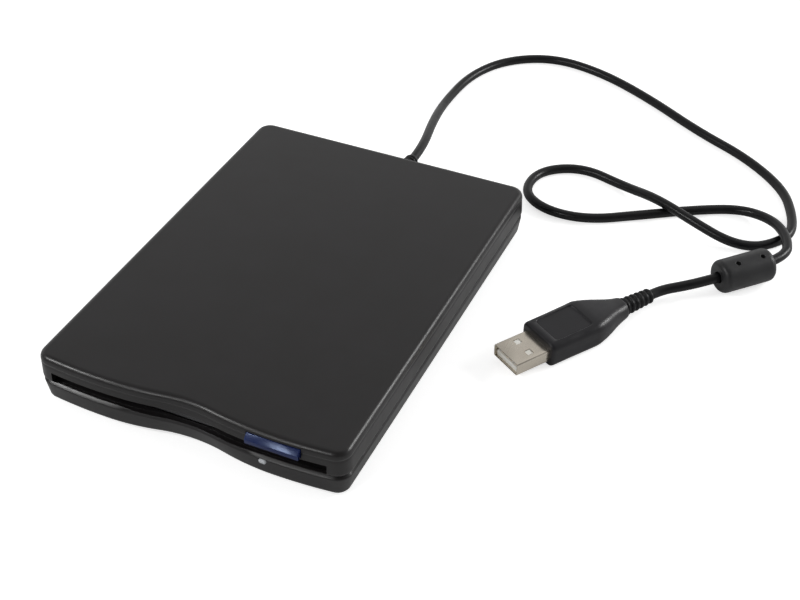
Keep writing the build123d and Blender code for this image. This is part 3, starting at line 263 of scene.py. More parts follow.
def makeBoard():
    look = boardLook
    weight, roughness = look["coat"]
    material, tree, skin = startFinish("boardLaminate", {"Coat Weight": weight, "Coat Roughness": roughness})
    axes = axesOf(tree, "Object")

    def bands(axis, kind):
        along = combine(tree, "PINGPONG", axes[axis], look[kind + "Step"] * mm / 2)
        width = look[kind + "Width"] * mm
        return mapTo(tree, along, 1, 0, width * look["fade"], width)

    def tracksAlong(axis, share):
        region = mapTo(tree, speckle(tree, look["region"], detail=0), *share, *look["border"])
        return combine(tree, "MULTIPLY", bands(axis, "track"), region)

    tracks = combine(tree, "ADD", tracksAlong("X", (0, 1)), tracksAlong("Y", (1, 0)))
    pads = combine(tree, "MULTIPLY", bands("X", "pad"), bands("Y", "pad"))
    colour = mixColours(tree, tracks, patches(tree, look), srgb(look["track"]))
    fill(tree, skin, {"Base Color": mixColours(tree, pads, colour, srgb(look["pad"])),
                      "Roughness": mapTo(tree, pads, *look["rough"], 0, 1),
                      "Normal": bump(tree, tracks, *look["trackRise"])})
    return material


stripe = {"edges": (0.1, 0.35), "patch": 260, "patchDetail": 4, "lighter": 1.06, "fine": 700}
stripedLooks = {
    "cableRibbon": {"gap": (150, 146, 136), "wire": (222, 220, 212), "step": 0.5, "axis": "Y",
                    "rough": (0.3, 0.42), "metal": 0, "depth": 0.05},
    "coilCopper": {"gap": (120, 52, 26), "wire": (196, 104, 58), "step": 0.22, "axis": "Z",
                   "rough": (0.25, 0.36), "metal": 0.9, "depth": 0.05},
    "coreLaminate": {"gap": (84, 86, 88), "wire": (150, 152, 154), "step": 0.35, "axis": "Z",
                     "rough": (0.4, 0.5), "metal": 0.8, "depth": 0.02},
}


def makeStriped(name, look):
    material, tree, skin = startFinish(name, {"Metallic": look["metal"]})
    step = look["step"] * mm
    along = combine(tree, "PINGPONG", axesOf(tree, "Object")[look["axis"]], step / 2)
    stripes = mapTo(tree, along, 0, 1, *(share * step for share in stripe["edges"]))
    light = [min(255, stripe["lighter"] * part) for part in look["wire"]]
    wire = patches(tree, {**stripe, "dark": look["wire"], "light": light})
    fill(tree, skin, {"Base Color": mixColours(tree, stripes, srgb(look["gap"]), wire),
                      "Roughness": mapTo(tree, speckle(tree, stripe["fine"]), *look["rough"]),
                      "Normal": bump(tree, stripes, look["depth"])})
    return material


finish = {name: makeLook(name, look) for name, look in looks.items()}
finish["lensAcrylic"] = makeLens()
finish["boardLaminate"] = makeBoard()
finish.update({name: makeStriped(name, look) for name, look in stripedLooks.items()})

# What each carried-over solid is made of.
nodeFinish = {
    "casePlastic": "top_cover bottom_cover",
    "doorPlastic": "slot_door door_ears",
    "buttonPlastic": "eject_button",
    "lensAcrylic": "lamp_lens activity_lamp",
    "footRubber": "rubber_feet",
    "screwBlack": "case_screws",
    "screwZinc": "chassis_screws",
    "labelFilm": "rating_label",
    "rolledSteel": "chassis chassis_sides slider_plate slider_flanges slider_tabs disk_carrier "
                   "carrier_rails screw_bracket rotor_cup head_arm",
    "turnedSteel": "carrier_pins guide_rod hinge_pin lead_pin lead_screw lever_pin spindle_shaft "
                   "drive_pin slider_springs",
    "darkSteel": "shutter_lever",
    "motorCan": "stepper_motor",
    "bearingBrass": "spindle_bearing",
    "magnetRubber": "rotor_magnet",
    "headCeramic": "lower_head upper_head",
    "carriagePlastic": "head_carriage",
    "boardLaminate": "controller_board usb_board front_board motor_board",
    "chipEpoxy": "controller_chips usb_chips",
    "socketNylon": "flat_cable_sockets cord_connector",
    "switchPlastic": "disk_switches",
    "cableRibbon": "flat_cable",
    "coilCopper": "stator_coils",
    "coreLaminate": "stator_core",
    "cordJacket": "usb_cord cord_tail",
    "reliefRubber": "cord_relief plug_relief",
    "beadPlastic": "ferrite_bead",
    "plugPlastic": "plug_overmould",
    "shellSteel": "plug_shell",
    "contactGold": "plug_contacts",
    "tonguePlastic": "plug_insulator",
}
for name, nodes in nodeFinish.items():
    for node in nodes.split():
        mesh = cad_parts[node].data
        mesh.materials.clear()
        mesh.materials.append(finish[name])
print("finishes made")


# Mesh tools. A ring is a list of points, and a profile a list of (radius, height along Y).

def keepPiece(name, mesh, node, sharp=40, body="housing"):  # sharp: the least angle of a hard edge
    mesh.name = name
    mesh.shade_smooth()
    if sharp:
        mesh.set_sharp_from_angle(angle=math.radians(sharp))
    piece = addObject(name, mesh)
    if body:
        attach(piece, body)
    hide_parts(node)
    return piece


def reshape(mesh, change):
    shape = bmesh.new()
    shape.from_mesh(mesh)
    change(shape)
    shape.to_mesh(mesh)
    shape.free()
    return mesh


def meshFrom(points, faces, material=None):
    mesh = bpy.data.meshes.new("shape")
    mesh.from_pydata([Vector(point) * mm for point in points], [], faces)
    if material:
        mesh.materials.append(finish[material])
    return reshape(mesh, lambda shape: bmesh.ops.recalc_face_normals(shape, faces=shape.faces))


def loft(rings, material=None, closed=False):  # closed: the last ring joins the first, and no end is capped
    count, rows = len(rings[0]), len(rings)
    points = [point for ring in rings for point in ring]
    faces = []
    for row in range(rows if closed else rows - 1):
        here, there = row * count, (row + 1) % rows * count
        pairs = [(k, (k + 1) % count) for k in range(count)]
        faces += [(here + k, here + after, there + after, there + k) for k, after in pairs]
    if not closed:
        faces += [tuple(reversed(range(count))), tuple(range((rows - 1) * count, rows * count))]
    return meshFrom(points, faces, material)


def turned(profile, material=None, steps=48, closed=False):
    angles = [2 * math.pi * k / steps for k in range(steps)]
    rings = [[(radius * math.cos(angle), along, radius * math.sin(angle)) for angle in angles]
             for radius, along in profile]
    return loft(rings, material, closed)


def roundRect(width, height, radius, along, steps=6):
    radius = min(radius, width / 2 - clear, height / 2 - clear)
    ring = []
    for corner, (sx, sz) in enumerate(((1, 1), (-1, 1), (-1, -1), (1, -1))):
        for step in range(steps + 1):
            angle = math.radians(90 * (corner + step / steps))
            ring.append((sx * (width / 2 - radius) + radius * math.cos(angle), along,
                         sz * (height / 2 - radius) + radius * math.sin(angle)))
    return ring


def around(half, middle=0):
    return middle - half, middle + half


def widened(ends, gap):
    return ends[0] - gap, ends[1] + gap


def soften(mesh, width, chosen=lambda place: True, segments=3, sharpest=35):
    def bevel(shape):
        edges = [edge for edge in shape.edges if all(chosen(vert.co / mm) for vert in edge.verts)
                 and edge.calc_face_angle(0) > math.radians(sharpest)]
        bmesh.ops.bevel(shape, geom=edges, offset=width * mm, segments=segments, profile=0.5, affect="EDGES",
                        clamp_overlap=True)
    return reshape(mesh, bevel)


def boxMesh(x, y, z, material=None, edge=0):
    points = [(a, b, c) for a in x for b in y for c in z]
    faces = [(0, 1, 3, 2), (4, 6, 7, 5), (0, 4, 5, 1), (2, 3, 7, 6), (0, 2, 6, 4), (1, 5, 7, 3)]
    mesh = meshFrom(points, faces, material)
    return soften(mesh, edge) if edge else mesh


def moved(mesh, place, angle=0, axis="X"):
    mesh.transform(Matrix.Translation(Vector(place) * mm) @ Matrix.Rotation(math.radians(angle), 4, axis))
    return mesh


def barAlong(axis, place, ends, radius, steps=48):
    bar = turned([(radius, end) for end in ends], steps=steps)
    return moved(bar, place, 90 if axis == "Z" else 0)


def joined(meshes):  # keeps each mesh's material, which may come after an empty slot
    whole = bpy.data.meshes.new("joined")
    shape = bmesh.new()
    materials = []
    for mesh in meshes:
        first, material = len(shape.faces), [own for own in mesh.materials if own][0]
        shape.from_mesh(mesh)
        if material not in materials:
            materials.append(material)
        shape.faces.ensure_lookup_table()
        for face in shape.faces[first:]:
            face.material_index = materials.index(material)
    shape.to_mesh(whole)
    shape.free()
    for material in materials:
        whole.materials.append(material)
    return whole


def evaluated(piece):
    view = bpy.context.evaluated_depsgraph_get()
    mesh = bpy.data.meshes.new_from_object(piece.evaluated_get(view))
    bpy.data.objects.remove(piece)
    return mesh


def carve(mesh, cutters, operation="DIFFERENCE"):  # the cut faces take the mesh's own material
    piece = addObject("carved", mesh)
    tools = [addObject("cutter", cutter) for cutter in cutters]
    for tool in tools:
        tool.data.materials.append(mesh.materials[0])
        modifier = piece.modifiers.new("carve", "BOOLEAN")
        modifier.operation = operation
        modifier.solver = "EXACT"
        modifier.object = tool
    bpy.context.view_layer.update()
    result = evaluated(piece)
    for tool in tools:
        bpy.data.objects.remove(tool)
    return result


# Geometry Nodes tools. build makes a tree's own nodes between its inputs and Realize Instances.

roundSteps = {"wire": 10, "ring": 40}


def grow(kind, material, build, values, places=None):
    tree = bpy.data.node_groups.new(kind + material[0].upper() + material[1:], "GeometryNodeTree")
    tree.interface.new_socket("Geometry", in_out="OUTPUT", socket_type="NodeSocketGeometry")
    tree.interface.new_socket("Places", in_out="INPUT", socket_type="NodeSocketGeometry")
    kinds = {float: "NodeSocketFloat", int: "NodeSocketInt", bpy.types.Object: "NodeSocketObject"}
    for label, value in values.items():
        tree.interface.new_socket(label, in_out="INPUT", socket_type=kinds[type(value)])
    made = build(tree, tree.nodes.new("NodeGroupInput").outputs)
    plain = addNode(tree, "GeometryNodeRealizeInstances", {"Geometry": made}).outputs["Geometry"]
    painted = addNode(tree, "GeometryNodeSetMaterial", {"Geometry": plain, "Material": finish[material]})
    addNode(tree, "NodeGroupOutput", {"Geometry": painted.outputs["Geometry"]})

    host = addObject(kind, places or bpy.data.meshes.new("places"))
    modifier = host.modifiers.new(kind, "NODES")
    modifier.node_group = tree
    for item in tree.interface.items_tree:
        if item.name in values:
            modifier[item.identifier] = values[item.name]
    bpy.context.view_layer.update()
    return evaluated(host)


def copies(unit, places, material):  # places are pairs of a place and its turn in degrees
    dots = bpy.data.meshes.new("places")
    dots.from_pydata([Vector(place) * mm for place, turn in places], [], [])
    turns = dots.attributes.new("turn", "FLOAT_VECTOR", "POINT")
    for dot, (place, turn) in zip(turns.data, places):
        dot.vector = [math.radians(angle) for angle in turn]

    def build(tree, inputs):
        stored = addNode(tree, "GeometryNodeInputNamedAttribute", {"Name": "turn"}, data_type="FLOAT_VECTOR")
        source = addNode(tree, "GeometryNodeObjectInfo", {"Object": inputs["Piece"]})
        return addNode(tree, "GeometryNodeInstanceOnPoints", {
            "Points": inputs["Places"], "Instance": source.outputs["Geometry"],
            "Rotation": stored.outputs["Attribute"]}).outputs["Instances"]

    piece = addObject("unit", unit)
    mesh = grow("copies", material, build, {"Piece": piece}, dots)
    bpy.data.objects.remove(piece)
    return mesh


def circle(tree, steps, radius):
    sizes = {"Resolution": steps, "Radius": radius}
    return addNode(tree, "GeometryNodeCurvePrimitiveCircle", sizes).outputs["Curve"]


def sweep(tree, path, wire, capped):
    curves = {"Curve": path, "Profile Curve": circle(tree, roundSteps["wire"], wire), "Fill Caps": capped}
    return addNode(tree, "GeometryNodeCurveToMesh", curves).outputs["Mesh"]


def coil(material, turns, radius, wire, length, steps):
    def build(tree, inputs):
        spiral = addNode(tree, "GeometryNodeCurveSpiral", {
            "Resolution": inputs["Steps"], "Rotations": inputs["Turns"], "Start Radius": inputs["Radius"],
            "End Radius": inputs["Radius"], "Height": inputs["Length"]})
        return sweep(tree, spiral.outputs["Curve"], inputs["Wire"], True)

    return grow("coil", material, build, {"Turns": turns, "Radius": radius * mm, "Length": length * mm,
                                          "Wire": wire * mm, "Steps": steps})


def ribs(material, sizes, start):  # rings that taper from first to last, along Y
    def build(tree, inputs):
        step = addNode(tree, "ShaderNodeCombineXYZ", {"Z": inputs["Pitch"]}).outputs["Vector"]
        line = addNode(tree, "GeometryNodeMeshLine", {"Count": inputs["Count"], "Offset": step})
        path = circle(tree, roundSteps["ring"], inputs["First"])
        ring = sweep(tree, path, inputs["Thick"], False)
        index = addNode(tree, "GeometryNodeInputIndex").outputs["Index"]
        least = combine(tree, "DIVIDE", inputs["Last"], inputs["First"])
        taper = mapTo(tree, index, 1, least, 0, inputs["Count"])
        scale = addNode(tree, "ShaderNodeCombineXYZ", {"X": taper, "Y": taper, "Z": 1}).outputs["Vector"]
        return addNode(tree, "GeometryNodeInstanceOnPoints", {
            "Points": line.outputs["Mesh"], "Instance": ring, "Scale": scale}).outputs["Instances"]

    values = {label: value if label == "Count" else value * mm for label, value in sizes.items()}
    return moved(grow("ribs", material, build, values), (0, start, 0), -90)


# Cord

cordShape = {
    "radius": 1.7, "onTable": 1.7, "overCord": 5.61, "beadHeight": 5.7, "plugHeight": 4,
    "start": (3.2, 84.3, 9.4), "straight": 9, "metres": 0.56,
}


def cordPoints():
    low, high = cordShape["onTable"], cordShape["overCord"]
    bead, plug = cordShape["beadHeight"], cordShape["plugHeight"]
    x, y, z = cordShape["start"]
    points = [
        (x, y, z), (x, y + cordShape["straight"], z),
        (-2.5, 116, 6), (-6.5, 138, low), (-5, 161, low),
        (4, 178.5, low), (21.5, 188.5, low), (43.5, 185, low), (67, 173.5, low), (91, 158, low),
        (112.3, 147.6, low), (129.5, 132.8, low), (136.1, 117.5, low), (137.9, 106.5, low),
        (133.4, 98.8, low), (127.3, 93.7, low), (118.6, 91.9, 2.8), (107.2, 94.3, 5),
        (90.5, 102.5, high), (76, 110.5, low), (58.5, 116, low), (44.4, 107.5, low),
        (43.4, 92.5, low), (54, 84.5, low), (70, 85, low), (87, 96, low),
        (103.5, 107, low), (118.5, 114.5, low), (130.8, 108.6, 4.4), (137.6, 98.9, high),
        (140, 86.9, bead), (118.3, 63.5, bead), (112, 58.7, 4.9), (105.9, 55, plug),
        (103.2, 50.7, plug),
    ]
    return [Vector(point) * mm for point in points]


def makeCord():
    curve = bpy.data.curves.new("usbCord", "CURVE")
    curve.dimensions = "3D"
    curve.resolution_u = 14
    curve.bevel_depth = cordShape["radius"] * mm
    curve.bevel_resolution = 7
    curve.use_fill_caps = True
    spline = curve.splines.new("NURBS")
    points = cordPoints()
    spline.points.add(len(points) - 1)
    for target, point in zip(spline.points, points):
        target.co = (*point, 1)
    spline.order_u = 3
    spline.use_endpoint_u = True
    curve.materials.append(finish["cordJacket"])
    cord = addObject("usbCord", curve)
    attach(cord, "housing")
    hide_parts("usb_cord")
    return cord


cord = makeCord()
print("cord laid")


# Case. A shell's profile is a list of (height, inset), from the seam out and round.

caseShape = {
    "width": 103, "front": -71.1, "back": 72.3, "lobeX": 28, "lobeRadius": 170, "scoopRadius": 50,
    "cornerRadius": 5, "scoopTop": 2.3, "scoopLow": 3.2, "scoopRise": 7.1, "seam": 9, "wall": 2.1,
    "roof": 16.5, "floor": 2.8, "base": 1, "draft": 1.2, "cutAhead": 2, "frontDeep": 3.2,
    "slotHalf": 45.7, "slotFoot": 7, "slotTop": 13.15, "slotBack": -66, "slotRound": 0.28,
    "lipFade": (15, 26), "lipSides": (60, 66), "lipFoot": 8.15, "lipSquare": 0.15,
    "sillIn": 1.95, "sillBack": -66.55, "sillDeep": 0.8, "sillGap": 0.02, "sillAhead": 1, "sillTop": 10,
    "points": {"scoop": 14, "fade": 13, "lobe": 13, "bend": 10, "side": 16, "corner": 10, "back": 8},
    "topProfile": [
        (9, 0.8), (9.1, 0.68), (9.75, 0.16), (9.95, 0.04), (10.25, 0), (10.7, 0), (13.3, 0.1),
        (14.5, 0.12), (14.9, 0.15), (15.2, 0.23), (15.45, 0.27), (15.65, 0.22), (15.85, 0.15), (16.1, 0.14),
        (16.5, 0.18), (16.95, 0.28), (17.3, 0.43), (17.6, 0.65), (17.88, 0.94), (18.08, 1.24), (18.2, 1.54),
        (18.27, 1.84), (18.3, 2.1), (18.3, 2.5)],
    "lowProfile": [
        (9, 1.3), (8.985, 1.17), (8.94, 1.07), (8.88, 0.995), (8.27, 0.228), (8.2, 0.17), (8.08, 0.135),
        (7.9, 0.13), (7.5, 0.18), (3.7, 0.78), (3.15, 0.88), (2.59, 0.95), (2.07, 1.17), (1.63, 1.51),
        (1.29, 1.96), (1.07, 2.47), (1, 3.03), (1, 3.5)],
}
buttonShape = {
    "x": (21, 38), "z": (13.8, 16.8), "gap": 0.15, "holeBack": -65, "holeRound": 0.15, "holeReach": 1,
    "front": -72.3, "back": -67, "slopeFoot": 15.35, "slopeBack": -70.9, "side": 0.2,
    "rounds": (0.3, 0.2, 0.1), "stemX": (23, 36), "stemZ": (15.1, 16.25), "stemBack": -58.5, "stemEdge": 0.12}
lensShape = {
    "x": (24.5, 26.9), "z": (6.6, 8.1), "front": -71.4, "back": -64.5, "gap": 0.08, "holeBack": -67.5,
    "crown": [(-0.02, 0.4), (0.03, 0.25), (0.14, 0.1), (0.3, 0)],
    "pipe": 1.1, "pipeY": (-68.7, -67.6), "pipeFoot": 5.6, "pipeEdge": 0.1}
footShape = {
    "places": [(x, y) for x in (-38.5, 38.5) for y in (-56.1, 57.3)], "radius": 4.95, "height": 1.6,
    "gap": 0.05, "dish": 2.6, "dishEdge": [(-0.4, 0.22), (-0.1, 0.18), (0, 0.05), (0.15, 0)],
    "rim": [(-0.45, 0), (-0.2, 0.06), (-0.05, 0.2), (0, 0.42)]}
caseScrews = {"places": [(-43.2, 64), (43.2, 64)], "start": 1.1, "lean": 90, "turns": (20, 0),
              "head": 1.9, "headHeight": 1.3, "shank": 1, "reach": 9.5, "cross": (0.42, 2.3, 0.8),
              "gap": 0.1, "holeTop": 2.4}
labelShape = {"width": 58, "length": 34, "depth": 0.15}
cordHole = {"x": 3.2, "z": 9.4, "radius": 3.2, "reach": (66, 76)}


def arcPoints(centre, radius, start, end, count):
    return [(centre[0] + radius * math.cos(start + (end - start) * k / count),
             centre[1] + radius * math.sin(start + (end - start) * k / count)) for k in range(count)]


def caseRing(height, inset, scoop):  # the case's outline: scoop, lobe, corner and side, mirrored
    shape, count = caseShape, caseShape["points"]
    side, back, front = shape["width"] / 2 - inset, shape["back"] - inset, shape["front"]
    lobe, corner = shape["lobeX"], shape["cornerRadius"] - inset
    innerRadius = (lobe ** 2 / scoop + scoop) / 2 - shape["scoopRadius"]
    scoopY = front + scoop - shape["scoopRadius"]
    lean = math.atan2(front + innerRadius - scoopY, lobe)
    outerY, outer = front + shape["lobeRadius"], shape["lobeRadius"] - inset
    cornerY = outerY - math.sqrt((outer - corner) ** 2 - (side - corner - lobe) ** 2)
    bend = math.atan2(cornerY - outerY, side - corner - lobe)
    sideStep, backStep = (back - corner - cornerY) / count["side"], 1 / count["back"]
    half = arcPoints((0, scoopY), shape["scoopRadius"] + inset, math.pi / 2, lean, count["scoop"])
    half += arcPoints((lobe, front + innerRadius), innerRadius - inset, lean - math.pi, -math.pi / 2,
                      count["fade"])
    half += arcPoints((lobe, outerY), outer, -math.pi / 2, bend, count["lobe"])
    half += arcPoints((side - corner, cornerY), corner, bend, 0, count["bend"])
    half += [(side, cornerY + sideStep * k) for k in range(count["side"])]
    half += arcPoints((side - corner, back - corner), corner, 0, math.pi / 2, count["corner"])
    half += [((side - corner) * (1 - backStep * k), back) for k in range(count["back"])]
    ring = half + [(0, back)] + [(-x, y) for x, y in reversed(half[1:])]
    return [(x, y, height) for x, y in ring]


def ramp(value, ends):
    share = min(1, max(0, (value - ends[0]) / (ends[1] - ends[0])))
    return share * share * (3 - 2 * share)


# Bevelled under the slot's ends, and nearly square in the scoop and round the sides.
def lipRing(height, inset, scoop):
    least = caseShape["lipSquare"]
    bevelled, square = (caseRing(height, depth, scoop) for depth in (inset, least + least * inset))
    ring = []
    for (x, y, z), (squareX, squareY, _) in zip(bevelled, square):
        share = ramp(abs(x), caseShape["lipFade"]) * ramp(-y, caseShape["lipSides"])
        ring.append((squareX + (x - squareX) * share, squareY + (y - squareY) * share, z))
    return ring


def scoopAt(height):
    share = min(1, max(0, (height - caseShape["base"]) / caseShape["scoopRise"]))
    return caseShape["scoopLow"] + (caseShape["scoopTop"] - caseShape["scoopLow"]) * share


def cordCutter():
    return barAlong("Y", (cordHole["x"], 0, cordHole["z"]), cordHole["reach"], cordHole["radius"])


def makeTopShell():
    shape, button = caseShape, buttonShape
    scoop, ahead = shape["scoopTop"], shape["front"] - shape["cutAhead"]
    holeX, holeZ = (widened(button[axis], button["gap"]) for axis in "xz")
    rings = [caseRing(shape[height], shape["wall"], scoop) for height in ("roof", "seam")]
    rings += [caseRing(height, inset, scoop) for height, inset in shape["topProfile"]]
    slotZ = (shape["slotFoot"], shape["slotTop"])
    mesh = carve(loft(rings, "casePlastic"), [
        boxMesh(around(shape["slotHalf"]), (ahead, shape["slotBack"]), slotZ),
        boxMesh(holeX, (ahead, button["holeBack"]), holeZ), cordCutter()])
    front = shape["front"] + shape["frontDeep"]
    low, high = widened(button["x"], button["holeReach"])

    def onSlot(place):
        atTop = abs(place.z - shape["slotTop"]) < clear
        return place.y < front and atTop and abs(place.x) < shape["slotHalf"] + clear

    def onButton(place):
        atSide = min(abs(place.x - side) for side in holeX) < clear
        atEnd = min(abs(place.z - end) for end in holeZ) < clear
        return place.y < front and (atSide or atEnd) and low < place.x < high

    soften(mesh, shape["slotRound"], onSlot)
    soften(mesh, button["holeRound"], onButton, segments=2)
    return keepPiece("topShell", mesh, "top_cover", sharp=32)


def makeBottomShell():
    shape, lens, foot, screw = caseShape, lensShape, footShape, caseScrews
    scoop, ahead = shape["scoopTop"], shape["front"] - shape["cutAhead"]
    rings = [caseRing(shape["floor"], shape["wall"] + shape["draft"], shape["scoopLow"]),
             caseRing(shape["seam"], shape["wall"], scoop)]
    rings += [(lipRing if height > shape["lipFoot"] else caseRing)(height, inset, scoopAt(height))
              for height, inset in shape["lowProfile"]]
    cutters = [
        loft(lensRings(lens["gap"], [(ahead, 0), (lens["holeBack"], 0)])),
        boxMesh(around(labelShape["width"] / 2), around(labelShape["length"] / 2),
                (0, shape["base"] + labelShape["depth"])),
        cordCutter()]
    for places, top, radius in ((foot["places"], foot["height"], foot["radius"] + foot["gap"]),
                                (screw["places"], screw["holeTop"], screw["head"] + screw["gap"])):
        cutters += [barAlong("Z", (x, y, 0), (0, top), radius) for x, y in places]
    heights = (shape["seam"] - shape["sillDeep"], shape["seam"] - shape["sillGap"])
    sillBox = boxMesh(around(shape["slotHalf"]), (shape["front"] - shape["sillAhead"], shape["sillBack"]),
                      (shape["slotFoot"], shape["sillTop"]))
    sillBand = loft([caseRing(height, shape["sillIn"], scoop) for height in heights], "casePlastic")
    mesh = joined([carve(loft(rings, "casePlastic"), cutters), carve(sillBand, [sillBox], "INTERSECT")])
    return keepPiece("bottomShell", mesh, "bottom_cover", sharp=32)


def rounded(corners, steps):  # a corner is (y, z, radius)
    points = []
    for k, (y, z, radius) in enumerate(corners):
        here = Vector((y, z))
        before, after = Vector(corners[k - 1][:2]), Vector(corners[(k + 1) % len(corners)][:2])
        into, out = (before - here).normalized(), (after - here).normalized()
        cut = radius / math.tan(into.angle(out) / 2)
        start, end = here + into * cut, here + out * cut
        for step in range(steps + 1):
            t = step / steps
            points.append((1 - t) ** 2 * start + 2 * t * (1 - t) * here + t ** 2 * end)
    return points


def slab(corners, x, edge, material, steps, knee=0.3):
    low, high = x
    roll = ((0, edge), (knee * edge, knee * edge), (edge, 0))
    levels = [(low + along, inset) for along, inset in roll]
    levels += [(high - along, inset) for along, inset in reversed(roll)]
    shape = rounded(corners, steps)
    middle = sum(shape, Vector((0, 0))) / len(shape)
    size = [max(abs(point[axis] - middle[axis]) for point in shape) for axis in (0, 1)]
    rings = []
    for along, inset in levels:
        share = [1 - inset / size[axis] for axis in (0, 1)]
        rings.append([(along, *(middle[axis] + (point[axis] - middle[axis]) * share[axis] for axis in (0, 1)))
                      for point in shape])
    return loft(rings, material)


def makeButton():
    shape = buttonShape
    front, back, (foot, top), (large, small, least) = (shape[key] for key in ("front", "back", "z", "rounds"))
    corners = [(front, foot, large), (front, shape["slopeFoot"], small), (shape["slopeBack"], top, small),
               (back, top, least), (back, foot, least)]
    head = slab(corners, shape["x"], shape["side"], "buttonPlastic", steps=5)
    stemY = (back + clear, shape["stemBack"])
    stem = boxMesh(shape["stemX"], stemY, shape["stemZ"], "buttonPlastic", shape["stemEdge"])
    return keepPiece("ejectButton", joined([head, stem]), "eject_button", body="slider")


def lensRings(wider, sections):
    (low, high), (foot, top) = lensShape["x"], lensShape["z"]
    rings = []
    for along, inset in sections:
        width, height = high - low + 2 * (wider - inset), top - foot + 2 * (wider - inset)
        rings.append([((low + high) / 2 + x, along, (foot + top) / 2 + z)
                      for x, _, z in roundRect(width, height, height / 2, 0, steps=8)])
    return rings


def makeLensPiece():
    shape = lensShape
    (front, back), foot, edge = shape["pipeY"], shape["pipeFoot"], shape["pipeEdge"]
    sections = [(shape["front"] + along, inset) for along, inset in shape["crown"]]
    window = loft(lensRings(0, sections + [(back, 0)]), "lensAcrylic")
    uprightZ, pipeZ = (foot, shape["z"][0] - clear), (foot, foot + shape["pipe"])
    upright = boxMesh(shape["x"], (front + 2 * clear, back), uprightZ, "lensAcrylic", edge)
    pipe = boxMesh(shape["x"], (back + clear, shape["back"]), pipeZ, "lensAcrylic", edge)
    return keepPiece("lampLens", joined([window, upright, pipe]), "lamp_lens")


def makeFeet():
    shape = footShape
    profile = [(shape["dish"] + out, height) for out, height in shape["dishEdge"]]
    profile += [(shape["radius"] + out, height) for out, height in shape["rim"]]
    unit = turned(profile + [(shape["radius"], shape["height"])], "footRubber", steps=40)
    mesh = copies(unit, [((x, y, 0), (90, 0, 0)) for x, y in shape["places"]], "footRubber")
    return keepPiece("rubberFeet", mesh, "rubber_feet", sharp=32)


# The head's dome, the thread's root and the tip have shares of the head's or the shank's radius.
threadShape = {"dome": [(0.3, 0), (0.62, 0.04), (0.84, 0.16), (0.97, 0.42)], "rim": 0.6, "step": 0.02,
               "neck": 0.3, "pitch": 0.5, "root": 0.82, "valley": (0.22, 0.28), "end": 0.4,
               "tip": [(0.8, 0.3), (0.35, 0)]}


def screwUnit(shape, material):
    thread, head, shank, under = threadShape, shape["head"], shape["shank"], shape["headHeight"]
    tip = under + shape["reach"]
    along, root = under + thread["neck"], thread["root"] * shank
    profile = [(share * head, height) for share, height in thread["dome"]]
    profile += [(head, thread["rim"] * under), (head, under), (shank, under + thread["step"]), (shank, along)]
    while along + thread["pitch"] < tip - thread["end"]:
        profile += [(root, along + valley) for valley in thread["valley"]]
        along += thread["pitch"]
        profile.append((shank, along))
    profile += [(share * shank, tip - back) for share, back in thread["tip"]]
    width, length, depth = shape["cross"]
    arms = [boxMesh(around(a / 2), (-1, depth), around(b / 2)) for a, b in ((width, length), (length, width))]
    return carve(turned(profile, material, steps=32), arms)


def makeScrews(name, shape, material, node):
    first, step = shape["turns"]
    places = [((x, y, shape["start"]), (shape["lean"], 0, first + step * k))
              for k, (x, y) in enumerate(shape["places"])]
    return keepPiece(name, copies(screwUnit(shape, material), places, material), node, sharp=32)


makeTopShell()
makeBottomShell()
makeButton()
makeLensPiece()
makeFeet()
makeScrews("caseScrews", caseScrews, "screwBlack", "case_screws")
print("case made")


# Pieces on the cord. The plug's are made along Y from its tip, and then laid along its own line.

